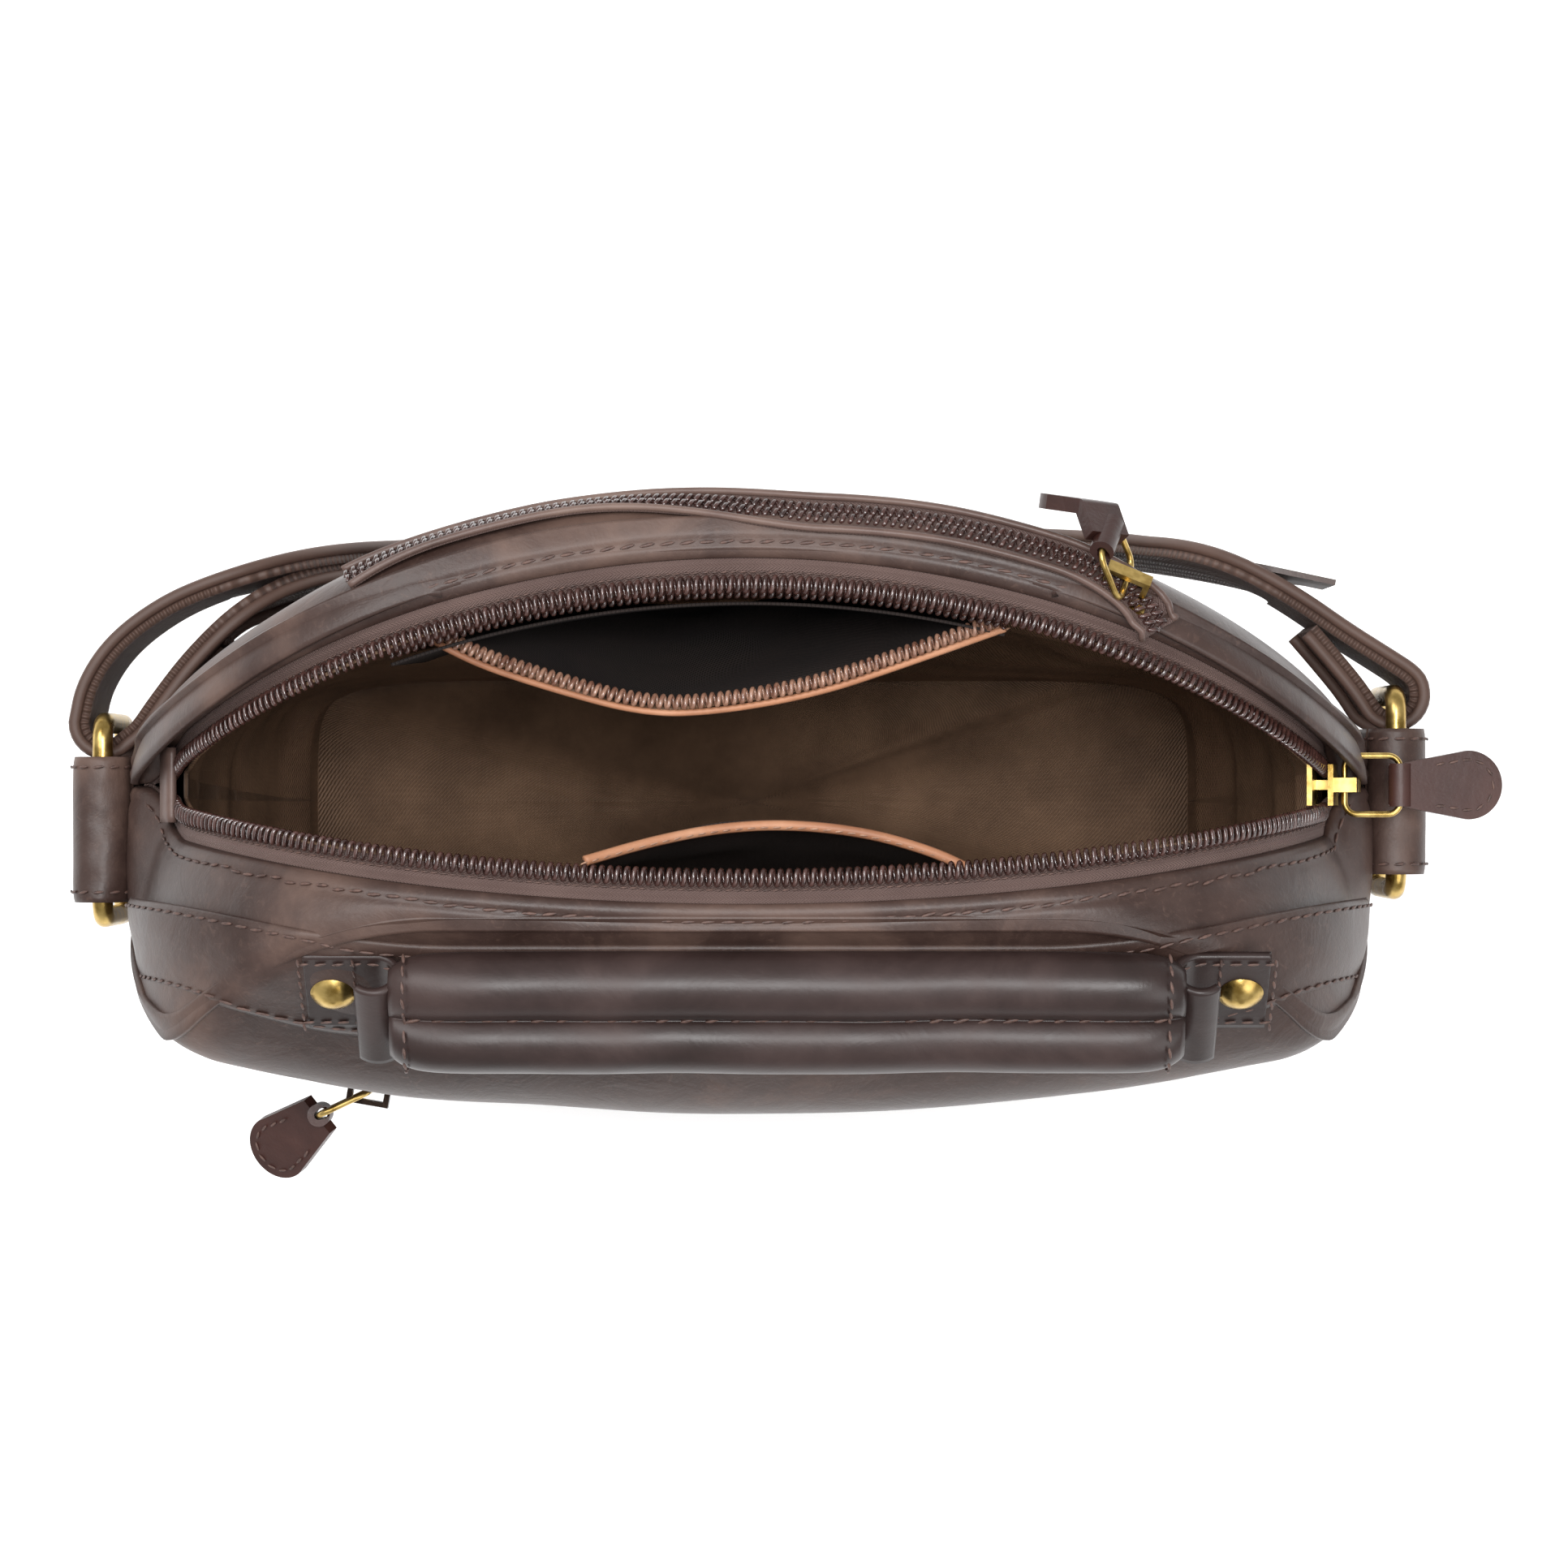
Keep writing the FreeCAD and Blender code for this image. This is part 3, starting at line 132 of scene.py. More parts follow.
def sheet_mesh(P, thick, wrap=False):
    """Outer grid, inner grid set in along the normals, and the rim between them: points, faces, uv."""
    nu, nv = P.shape[:2]
    inner = P - normals_of(P, wrap) * thick
    points = np.concatenate([P.reshape(-1, 3), inner.reshape(-1, 3)])
    n = nu * nv
    faces = [quads(nu, nv, wrap), quads(nu, nv, wrap, start=n)[:, ::-1]]
    grid = np.arange(n).reshape(nu, nv)
    rims = [grid[:, 0], grid[:, -1][::-1]] if wrap else [
        np.concatenate([grid[:-1, 0], grid[-1, :-1], grid[1:, -1][::-1], grid[0, 1:][::-1]])]
    for rim in rims:
        after = np.roll(rim, -1)
        faces.append(np.stack([after, rim, rim + n, after + n], -1))
    uv = np.stack([lengths(P, 0), lengths(P, 1)], -1).reshape(-1, 2)
    return points, np.concatenate(faces), np.concatenate([uv, uv])


def facing_out(P, centre=(0, 0, 100)):
    """The grid turned over, where needed, so that its normals point away from the middle of the bag."""
    away = ((P - np.array(centre)) * normals_of(P)).sum()
    return P if away > 0 else P[::-1]


def sheet_piece(name, P, thick, *rest, wrap=False, **more):
    """A closed sheet whose grid is its outer face."""
    points, faces, uv = sheet_mesh(P if wrap else facing_out(P), thick, wrap)
    return piece(name, points, faces, *rest, uv=uv, **more)


def grid_area(P):
    """Area of a grid in square metres: half the cross product of each cell's diagonals, summed."""
    cells = np.cross(P[1:, 1:] - P[:-1, :-1], P[1:, :-1] - P[:-1, 1:])
    return float(np.linalg.norm(cells, axis=-1).sum() / 2 * MM * MM)


# %% A profile carried along a path becomes a tube, and small shapes repeat along a path
def along(path):
    """Tangents of a path, from each point's two neighbours."""
    return unit(np.gradient(path, axis=0))


def resample(path, pitch):
    """Points at an even distance along a path."""
    far = np.concatenate([[0], np.cumsum(np.linalg.norm(np.diff(path, axis=0), axis=1))])
    spots = np.linspace(0, far[-1], max(int(round(far[-1] / pitch)) + 1, 2))
    return np.stack([np.interp(spots, far, path[:, k]) for k in range(3)], -1)


def tube(path, up, wide, high, sides=10, closed=False, power=1.0):
    """A rounded section carried along a path: an ellipse, squared a little when the power is under 1."""
    t = unit(np.roll(path, -1, 0) - np.roll(path, 1, 0)) if closed else along(path)
    up = unit(up - (up * t).sum(-1, keepdims=True) * t)
    side = np.cross(t, up)
    a = np.linspace(0, 2 * np.pi, sides, endpoint=False)
    c, s = np.cos(a), np.sin(a)
    c, s = np.sign(c) * np.abs(c) ** power, np.sign(s) * np.abs(s) ** power
    wide, high = np.broadcast_to(wide, len(path)), np.broadcast_to(high, len(path))
    P = path[:, None] + side[:, None] * (c[None, :, None] * wide[:, None, None] / 2) \
        + up[:, None] * (s[None, :, None] * high[:, None, None] / 2)
    points, faces = P.reshape(-1, 3), [quads(len(path), sides, closed, True)]
    if not closed:
        points = np.concatenate([points, path[[0, -1]]])
        n, k = len(path) * sides, np.arange(sides)
        after = (k + 1) % sides
        faces.append(np.stack([np.full(sides, n), k, after], -1))
        last = (len(path) - 1) * sides
        faces.append(np.stack([np.full(sides, n + 1), last + after, last + k], -1))
    return points, faces


def joined(parts):
    """Several (points, [face arrays]) made one, as lists, because triangles and quads mix."""
    points, faces, start = [], [], 0
    for p, face_sets in parts:
        points.append(p)
        for f in (face_sets if isinstance(face_sets, list) else [face_sets]):
            faces += (np.asarray(f) + start).tolist()
        start += len(p)
    return np.concatenate(points), faces


def plain_piece(name, parts, *rest, **more):
    """Tubes or beads put into one mesh object, with no UV map."""
    return piece(name, *joined(parts), *rest, **more)


def beads(spots, x, z, long, wide, high, rings=5, sides=6):
    """The same small rounded bar at every spot: a sphere stretched along x, with z up."""
    a = np.linspace(0, 2 * np.pi, sides, endpoint=False)
    b = np.linspace(-0.5, 0.5, rings) * np.pi * 0.94
    local = np.stack([np.repeat(np.sin(b), sides) * long / 2,
                      np.outer(np.cos(b), np.cos(a)).ravel() * wide / 2,
                      np.outer(np.cos(b), np.sin(a)).ravel() * high / 2], -1)
    y = np.cross(z, x)
    P = spots[:, None] + x[:, None] * local[None, :, :1] + y[:, None] * local[None, :, 1:2] \
        + z[:, None] * local[None, :, 2:]
    n = rings * sides
    one = quads(rings, sides, False, True)
    faces = (one[None] + (np.arange(len(spots)) * n)[:, None, None]).reshape(-1, 4)
    caps = []
    for end in (np.arange(sides)[::-1], (rings - 1) * sides + np.arange(sides)):
        caps.append(end[None] + (np.arange(len(spots)) * n)[:, None])
    return P.reshape(-1, 3), [faces] + caps


def stitches(path, up, pitch=4.0, long=3.1, wide=0.75, slant=0.12):
    """Sewing thread seen from above: one short rounded bar after another, each a little askew."""
    spots = resample(path, pitch)
    if np.ndim(up) > 1:
        ups = resample_like(up, len(spots))
    else:
        ups = np.broadcast_to(np.array(up, float), spots.shape)
    x = along(spots)
    z = unit(ups - (ups * x).sum(-1, keepdims=True) * x)
    y = np.cross(z, x)
    turn = slant + rng.normal(0, 0.05, len(spots))[:, None]
    x = unit(x + y * turn)
    return beads(spots, x, z, long, wide, wide * 0.8)


def resample_like(values, count):
    """Values along a path, spread over another count of points."""
    old, new = np.linspace(0, 1, len(values)), np.linspace(0, 1, count)
    return np.stack([np.interp(new, old, values[:, k]) for k in range(3)], -1)


def smooth(x, a, b):
    """0 before a, 1 after b, an S curve between them."""
    t = np.clip((x - a) / (b - a), 0, 1)
    return t * t * (3 - 2 * t)


def waves(u, v, scale, count=14, seed=1):
    """Slow unevenness of a surface: a sum of seeded plane waves, about 1 high."""
    r = np.random.default_rng(seed)
    out = np.zeros(np.broadcast(u, v).shape)
    for _ in range(count):
        angle, size, phase = r.uniform(0, 2 * np.pi), scale * r.uniform(0.5, 1.8), r.uniform(0, 2 * np.pi)
        out = out + np.sin((u * math.cos(angle) + v * math.sin(angle)) * 2 * np.pi / size + phase)
    return out / math.sqrt(count)


# %% [markdown]
# ## Finishes
# The leather is waxed pull-up leather: a dark brown hide that goes lighter and greyer where it is bent,
# with fine grain, soft blotches and a satin shine. The lining is a brown twill, the zip tape a herringbone
# weave in polyester, the teeth a spun nylon coil, and the fittings antique brass.

# %% Colour and node helpers
def linear(hex_colour):
    """sRGB hex to the linear numbers that a shader works in."""
    out = []
    for k in (0, 2, 4):
        c = int(hex_colour[k:k + 2], 16) / 255
        out.append(c / 12.92 if c <= 0.04045 else ((c + 0.055) / 1.055) ** 2.4)
    return (*out, 1.0)


def add(tree, kind, inputs=None, **settings):
    """A node with its settings, and its inputs set to values or linked to sockets."""
    node = tree.nodes.new(kind)
    for key, value in settings.items():
        setattr(node, key, value)
    for key, value in (inputs or {}).items():
        if isinstance(value, bpy.types.NodeSocket):
            tree.links.new(value, node.inputs[key])
        else:
            node.inputs[key].default_value = value
    return node


def new_material(name, roughness, metallic=0.0, **sockets):
    """A material with one shader: returns it, its tree and the shader."""
    material = bpy.data.materials.new(name)
    material.use_nodes = True
    tree = material.node_tree
    shader = tree.nodes["Principled BSDF"]
    shader.inputs["Roughness"].default_value = roughness
    shader.inputs["Metallic"].default_value = metallic
    for key, value in sockets.items():
        shader.inputs[key.replace("_", " ")].default_value = value
    return material, tree, shader


def ramp(tree, factor, stops):
    """A colour ramp over a factor, from stops of (place, sRGB hex)."""
    node = add(tree, "ShaderNodeValToRGB", {"Fac": factor})
    elements = node.color_ramp.elements
    while len(elements) < len(stops):
        elements.new(0.5)
    for element, (place, colour) in zip(elements, stops):
        element.position = place
        element.color = linear(colour)
    return node.outputs["Color"]


def bump(tree, height, strength, distance, under=None):
    """A bump laid over the normal under it; distance is its depth in metres."""
    inputs = {"Height": height, "Strength": strength, "Distance": distance}
    if under is not None:
        inputs["Normal"] = under
    return add(tree, "ShaderNodeBump", inputs).outputs["Normal"]


# %% Leather: grain cells, blotches and pale scuffs
GRAIN_MM = 1.3          # width of one grain cell
BLOTCH_MM = 38.0        # width of a pale or dark area of the hide


def leather(name, dark, middle, pale, roughness=0.42, grain=0.35, scuffs=0.5):
    """Chrome-tanned hide, waxed: the wax moves where it is bent, which leaves pale soft areas."""
    material, tree, shader = new_material(name, roughness, Coat_Weight=0.05, Coat_Roughness=0.4,
                                          Specular_IOR_Level=0.35)
    place = add(tree, "ShaderNodeTexCoord").outputs["Object"]
    blotch = add(tree, "ShaderNodeTexNoise", {"Vector": place, "Scale": 1000 / BLOTCH_MM, "Detail": 5.0,
                                              "Roughness": 0.62, "Distortion": 0.4}).outputs["Fac"]
    base = ramp(tree, blotch, [(0.30, dark), (0.52, middle), (0.74, pale)])
    scuff = add(tree, "ShaderNodeTexNoise", {"Vector": place, "Scale": 420.0, "Detail": 6.0, "Roughness": 0.7,
                                             "Distortion": 1.2}).outputs["Fac"]
    pale_dust = add(tree, "ShaderNodeMapRange", {"Value": scuff, "From Min": 0.55, "From Max": 0.78,
                                                 "To Min": 0.0, "To Max": scuffs}).outputs["Result"]
    mixed = add(tree, "ShaderNodeMix", data_type="RGBA")
    tree.links.new(pale_dust, mixed.inputs[0])
    tree.links.new(base, mixed.inputs[6])
    mixed.inputs[7].default_value = linear(pale)
    tree.links.new(mixed.outputs[2], shader.inputs["Base Color"])
    cells = add(tree, "ShaderNodeTexVoronoi", {"Vector": place, "Scale": 1000 / GRAIN_MM},
                feature="DISTANCE_TO_EDGE").outputs["Distance"]
    pores = add(tree, "ShaderNodeTexNoise", {"Vector": place, "Scale": 2200.0, "Detail": 3.0}).outputs["Fac"]
    creases = add(tree, "ShaderNodeTexNoise", {"Vector": place, "Scale": 90.0, "Detail": 8.0,
                                               "Roughness": 0.6, "Distortion": 0.8}).outputs["Fac"]
    soft = bump(tree, creases, grain, 0.0009)
    fine = bump(tree, cells, grain * 0.55, 0.00016, soft)
    tree.links.new(bump(tree, pores, grain * 0.4, 0.0001, fine), shader.inputs["Normal"])
    shine = add(tree, "ShaderNodeMapRange", {"Value": blotch, "From Min": 0.3, "From Max": 0.75,
                                             "To Min": roughness - 0.06, "To Max": roughness + 0.14})
    tree.links.new(shine.outputs["Result"], shader.inputs["Roughness"])
    return material


hide = leather("waxed_pull_up_leather", "2a1c18", "3e2e29", "604b42")
handle_hide = leather("smooth_handle_leather", "211715", "2f2220", "40312e", 0.38, 0.16, 0.2)
pull_hide = leather("reddish_pull_leather", "2a1714", "3b221d", "4d3029", 0.4, 0.25, 0.2)
tan_hide = leather("thin_tan_leather", "8d5f47", "b07c5d", "c9997a", 0.5, 0.2, 0.3)
edge_hide = leather("folded_leather_edge", "3f302b", "58453f", "705c53", 0.4, 0.2, 0.5)
print("leathers:", [m.name for m in (hide, handle_hide, pull_hide, tan_hide, edge_hide)])


# %% Cloth: twill, herringbone tape and ribbed webbing, each drawn on the piece's own UV map
def woven(name, dark, pale, thread_mm, angle, roughness, sheen, depth, zigzag_mm=0.0, blotch=0.5):
    """Threads as slanting ribs across the UV map; a zigzag turns them over every few millimetres."""
    material, tree, shader = new_material(name, roughness, Sheen_Weight=sheen, Sheen_Roughness=0.4)
    shader.inputs["Sheen Tint"].default_value = linear(pale)
    uv = add(tree, "ShaderNodeUVMap", uv_map="UVMap").outputs["UV"]
    parts = add(tree, "ShaderNodeSeparateXYZ", {"Vector": uv})
    across = parts.outputs["Y"]
    if zigzag_mm:
        fold = add(tree, "ShaderNodeMath", {0: across, 1: zigzag_mm * MM}, operation="PINGPONG")
        across = fold.outputs[0]
    lean_by = add(tree, "ShaderNodeMath", {0: across, 1: math.tan(math.radians(angle))}, operation="MULTIPLY")
    slanted = add(tree, "ShaderNodeMath", {0: parts.outputs["X"], 1: lean_by.outputs[0]}, operation="ADD")
    phase = add(tree, "ShaderNodeMath", {0: slanted.outputs[0], 1: 2 * math.pi / (thread_mm * MM)},
                operation="MULTIPLY")
    rib = add(tree, "ShaderNodeMath", {0: phase.outputs[0]}, operation="SINE")
    cross_phase = add(tree, "ShaderNodeMath", {0: parts.outputs["Y"], 1: 2 * math.pi / (thread_mm * MM)},
                      operation="MULTIPLY")
    cross = add(tree, "ShaderNodeMath", {0: cross_phase.outputs[0]}, operation="SINE")
    both = add(tree, "ShaderNodeMath", {0: cross.outputs[0], 1: 0.25, 2: rib.outputs[0]},
               operation="MULTIPLY_ADD")
    place = add(tree, "ShaderNodeTexCoord").outputs["Object"]
    cloudy = add(tree, "ShaderNodeTexNoise", {"Vector": place, "Scale": 45.0, "Detail": 6.0,
                                              "Roughness": 0.6}).outputs["Fac"]
    tone = add(tree, "ShaderNodeMath", {0: rib.outputs[0], 1: 0.09, 2: cloudy}, operation="MULTIPLY_ADD")
    colour = ramp(tree, tone.outputs[0], [(0.5 - blotch / 2, dark), (0.5 + blotch / 2, pale)])
    tree.links.new(colour, shader.inputs["Base Color"])
    tree.links.new(bump(tree, both.outputs[0], 0.7, depth), shader.inputs["Normal"])
    return material


twill = woven("brown_twill_lining", "57402f", "8a6b53", 0.9, 45, 0.62, 0.25, 0.00018)
# Near-black cloth: painted shade. It is the darkness of the deep, shadowed insides of the pockets, not the
# cloth's lit colour.
painted_shade_cloth = woven("pocket_cloth_painted_shade", "140d0b", "2a1e1a", 0.9, 45, 0.8, 0.05, 0.00015)
tape_cloth = woven("herringbone_zip_tape", "4a3733", "6e5953", 0.75, 55, 0.7, 0.2, 0.00025, 0.8, 0.9)
webbing_cloth = woven("ribbed_strap_webbing", "38261f", "5a4339", 1.5, 62, 0.6, 0.25, 0.0005, 3.0, 0.8)


# %% Thread, coil, brass, foam and board
def plain_finish(name, dark, pale, roughness, metallic=0.0, scale=300.0, depth=0.0001, strength=0.3,
                 **sockets):
    """A finish with a little unevenness in its colour and its surface, from two sizes of noise."""
    material, tree, shader = new_material(name, roughness, metallic, **sockets)
    place = add(tree, "ShaderNodeTexCoord").outputs["Object"]
    noise = add(tree, "ShaderNodeTexNoise", {"Vector": place, "Scale": scale, "Detail": 5.0}).outputs["Fac"]
    tree.links.new(ramp(tree, noise, [(0.35, dark), (0.65, pale)]), shader.inputs["Base Color"])
    fine = add(tree, "ShaderNodeTexNoise", {"Vector": place, "Scale": scale * 6,
                                            "Detail": 2.0}).outputs["Fac"]
    tree.links.new(bump(tree, fine, strength, depth), shader.inputs["Normal"])
    rough = add(tree, "ShaderNodeMapRange", {"Value": noise, "From Min": 0.3, "From Max": 0.7,
                                             "To Min": roughness - 0.07, "To Max": roughness + 0.1})
    tree.links.new(rough.outputs["Result"], shader.inputs["Roughness"])
    return material


thread = plain_finish("waxed_sewing_thread", "3c2a25", "5d453d", 0.55, scale=900.0)
pale_thread = plain_finish("tan_sewing_thread", "8a6450", "b08a72", 0.55, scale=900.0)
coil_nylon = plain_finish("spun_nylon_coil", "2b1916", "4a302b", 0.22, scale=500.0, Coat_Weight=0.5)
pale_coil = plain_finish("small_nylon_coil", "6d4a3c", "a07a66", 0.25, scale=500.0, Coat_Weight=0.5)
brass = plain_finish("antique_brass", "8c7138", "c9ad6b", 0.3, 1.0, scale=260.0, depth=0.00004)
foam = plain_finish("foam_cord_padding", "b9b5ac", "d6d2c9", 0.9)
board = plain_finish("black_stiffener_board", "131313", "1e1e1e", 0.7)
black_metal = plain_finish("black_coated_slider", "120e0c", "241c18", 0.3, 1.0)

# %% [markdown]
# ## The shape of the bag
# Seen from the front the bag is a rounded rectangle, and seen from above a lens. The two walls are heights
# over the front view: depth as a function of across and up. The zip runs over the top and down both ends.

# %% Outlines
TOP_R, BASE_R = 70.0, 24.0          # corner radii seen from the front
ZIP_R, ZIP_FLAT = 69.0, 53.0        # the zip's corner arc, and where its flat stretch ends
ZIP_Z = HEIGHT - 1.8 - ZIP_R        # height of that arc's centre
ZIP_END = 142.0                     # where the open rows end
SLIDER_Y = 4.0                      # the rows meet here, behind the middle


def half_width(z):
    """Half the bag's width at a height: straight sides between the lower and upper corner arcs."""
    up = np.clip(z - (HEIGHT - TOP_R), 0, TOP_R)
    down = np.clip(BASE_R - z, 0, BASE_R)
    upper = HALF - TOP_R + np.sqrt(np.maximum(TOP_R ** 2 - up ** 2, 0))
    lower = HALF - BASE_R + np.sqrt(np.maximum(BASE_R ** 2 - down ** 2, 0))
    return np.minimum(upper, lower)


def edge_distance(x, z):
    """How far a point of the front view lies inside the rounded rectangle."""
    qx, qz = np.abs(x) - (HALF - TOP_R), z - (HEIGHT - TOP_R)
    upper = TOP_R - np.hypot(np.maximum(qx, 0), np.maximum(qz, 0)) - np.minimum(np.maximum(qx, qz), 0)
    qx, qz = np.abs(x) - (HALF - BASE_R), BASE_R - z
    lower = BASE_R - np.hypot(np.maximum(qx, 0), np.maximum(qz, 0)) - np.minimum(np.maximum(qx, qz), 0)
    return np.minimum(upper, lower)


def outline(count, low):
    """Points over the top of the rounded rectangle, from a height at the left to the same at the right."""
    flat, arc = HALF - TOP_R, TOP_R * np.pi / 2
    reach = flat + arc + (HEIGHT - TOP_R - low)
    s = np.linspace(-reach, reach, count)
    return path_over(s, flat, TOP_R, HEIGHT - TOP_R)


def path_over(s, flat, radius, centre_z):
    """A path over the top: flat, then a quarter arc, then straight down; x, z and the outward direction."""
    a = np.clip((np.abs(s) - flat) / radius, 0, np.pi / 2)
    down = np.maximum(np.abs(s) - flat - radius * np.pi / 2, 0)
    sign = np.sign(s)
    x = sign * (np.minimum(np.abs(s), flat) + radius * np.sin(a))
    z = centre_z + radius * np.cos(a) - down
    return x, z, sign * np.sin(a), np.cos(a)


def rounded_off(d, radius):
    """Fall of a surface near its edge: a quarter circle of the radius."""
    near = np.clip(radius - d, 0, radius)
    return radius - np.sqrt(np.maximum(radius ** 2 - near ** 2, 0))


def soft_min(a, b, k):
    """The lesser of two, with the corner between them rounded over k."""
    h = np.clip(0.5 + 0.5 * (b - a) / k, 0, 1)
    return b * (1 - h) + a * h - k * h * (1 - h)


def rear_depth(x, z):
    """Depth of the rear wall: the lens, narrowed towards the base, rounded into the strip at its edge."""
    radius = 203.0
    lens = REAR - (radius - np.sqrt(np.maximum(radius ** 2 - x ** 2, 0)))
    t = np.clip(z / 128.0, 0, 1)
    side = 36.0 + (REAR - 36.0) * np.sin(t * np.pi / 2) ** 0.9
    y = soft_min(lens, side, 5.0) + 2.2 * smooth(z, 60, 130) * smooth(edge_distance(x, z), 0, 25)
    y = y - rounded_off(edge_distance(x, z), 10.0)
    return y + 0.5 * waves(x, z, 90.0, seed=3) * smooth(edge_distance(x, z), 0, 30)


YOKE_TOP, YOKE_RISE = -22.6, 58.0 / 53.0


def front_depth(x, z):
    """Depth of the front wall, as a negative number: belly below, and the yoke's slope above it."""
    radius = 470.0
    lens = -FRONT - (radius - np.sqrt(np.maximum(radius ** 2 - x ** 2, 0)))
    t = np.clip(z / 116.0, 0, 1)
    side = 36.0 + (-FRONT - 36.0) * np.sin(t * np.pi / 2) ** 0.9
    slope = -YOKE_TOP + (HEIGHT - z) / YOKE_RISE
    y = soft_min(soft_min(lens, side, 9.0), slope, 7.0)
    corner = rounded_off(np.maximum(HALF - np.abs(x), 0) + 0.0 * z, 22.0) * smooth(z, 0, 60)
    y = y - np.maximum(corner, rounded_off(edge_distance(x, z), 9.0) * smooth(HEIGHT - z, 0, 50))
    folds = 0.7 * waves(x, z, 80.0, seed=5) * smooth(edge_distance(x, z), 4, 30)
    return -(y + folds)


def rear_row(x):
    """Plan of the rear coil row: an arc."""
    return 44.0 - (215.0 - np.sqrt(215.0 ** 2 - x ** 2))


def front_row(x):
    """Plan of the front coil row: a flatter arc, bowed the other way."""
    return -14.5 + (560.0 - np.sqrt(560.0 ** 2 - x ** 2))


ZIP_REACH = ZIP_FLAT + ZIP_R * (np.pi / 2 - math.asin((ZIP_END - ZIP_Z) / ZIP_R))


def zip_line(s, which, aside=0.0, lift=0.0):
    """A line beside a zip row: s along the zip, aside away from the mouth, lift off the zip's surface."""
    x, z, nx, nz = path_over(s, ZIP_FLAT, ZIP_R, ZIP_Z)
    row = rear_row(x) if which == "rear" else front_row(x)
    away = 1.0 if which == "rear" else -1.0
    # At the left the rows close to a rounded end; at the right they stay open round the slider.
    to_left = smooth(-s, ZIP_REACH - 16, ZIP_REACH + 2)
    y = row + away * aside
    y = y + (SLIDER_Y + away * (2.2 + aside) - y) * to_left * 0.9
    # Below its end the zip is sewn under leather that bulges back out to the bag's end.
    below = smooth(ZIP_END - z, 0, 13)
    closed = smooth(ZIP_END - z, -2, 8)
    y = y + (SLIDER_Y + away * 0.2 - y) * closed * (1.0 if aside > 0 else 0.0)
    out = below * (HALF - 0.8 - ZIP_FLAT - ZIP_R) * np.sign(x)
    return np.stack([x + nx * lift + out, y, z + nz * lift], -1)


print("zip reaches", round(ZIP_REACH, 1), "mm each way; rows", rear_row(0.0), front_row(0.0))

# %% [markdown]
# ## Leather walls
# The rear and front walls are grids over the front view. Rows run at constant height, so that the top row
# is the flat top edge and the base row the flat base. The yoke is a second layer laid over the front.

# %% Rear and front panels, base
def wall(depth, count_x=150, count_z=110, low=0.0, high=HEIGHT):
    """A wall's grid: across by a sine share of the half width, up by a cosine share of the height."""
    a = np.linspace(-1, 1, count_x)[:, None]
    share = np.linspace(0, 1, count_z)[None, :]
    z = low + (high - low) * (1 - np.cos(share * np.pi)) / 2
    x = np.sin(a * np.pi / 2 * 0.96) / math.sin(np.pi / 2 * 0.96) * half_width(z)
    return np.stack([x, depth(x, z), z + 0 * x], -1)


rear_points = wall(rear_depth)[::-1]
sheet_piece("rear_wall", rear_points, 1.6, hide, "bag", "panel_leather", replaces=["rear_panel"])
front_points = wall(front_depth)
sheet_piece("front_wall", front_points, 1.6, hide, "bag", "panel_leather", replaces=["front_panel"])

# %% Yoke: the band across the front that carries the handle, sewn down along both edges
def yoke_surface(count=260, across=34, lift=1.0):
    """The yoke as seen from above, between an upper and a lower line, laid over strip and front wall."""
    low = 146.0
    reach = HALF - TOP_R + TOP_R * (np.pi / 2 - math.asin((low - (HEIGHT - TOP_R)) / TOP_R))
    s = np.linspace(-reach, reach, count)[:, None]
    x, z, nx, nz = path_over(s, HALF - TOP_R, TOP_R, HEIGHT - TOP_R)
    far = np.abs(x) / HALF
    upper = -28.0 + 8.5 * smooth(far, 0.45, 1.0)
    lower = -50.5 + 3.5 * smooth(far, 0.35, 0.62) + 9.5 * smooth(far, 0.6, 0.98)
    t = np.linspace(0, 1, across)[None, :]
    y = upper + (lower - upper) * t
    edge = np.minimum(t, 1 - t) * (upper - lower)
    rise = lift * smooth(edge, -0.8, 1.6)
    top = soft_min(z + 0 * y, HEIGHT + (y - YOKE_TOP) * YOKE_RISE, 4.0)
    narrow = 0.011 * np.maximum(-20 - y, 0) ** 2
    wrinkle = 0.3 * waves(x + 0 * y, y, 34.0, seed=61) * smooth(edge, 2, 8)
    out = rise + wrinkle
    slope_share = smooth(z - top, 0, 4)
    return np.stack([x - np.sign(x) * narrow * far ** 4 + nx * out, y - 0.7 * out * slope_share,
                     top + np.maximum(nz, 0.72 * slope_share) * out], -1)


yoke = yoke_surface()
sheet_piece("yoke_band", yoke[::-1], 1.4, hide, "bag", "panel_leather", replaces=["front_yoke"])
rows = []
for column in (3, -4):
    seam_line = yoke[:, column]
    normal = -normals_of(yoke[::-1])[::-1][:, column]
    normal = normal * np.sign(normal[:, 2:] + 1e-6)
    rows.append(stitches(seam_line + normal * 0.25, normal))
plain_piece("yoke_stitches", rows, thread, "bag", "panel_leather")

# %% Zip strips: leather from the zip tape out to the walls' edges
REVEAL = 5.2            # coil middle to the leather's folded edge


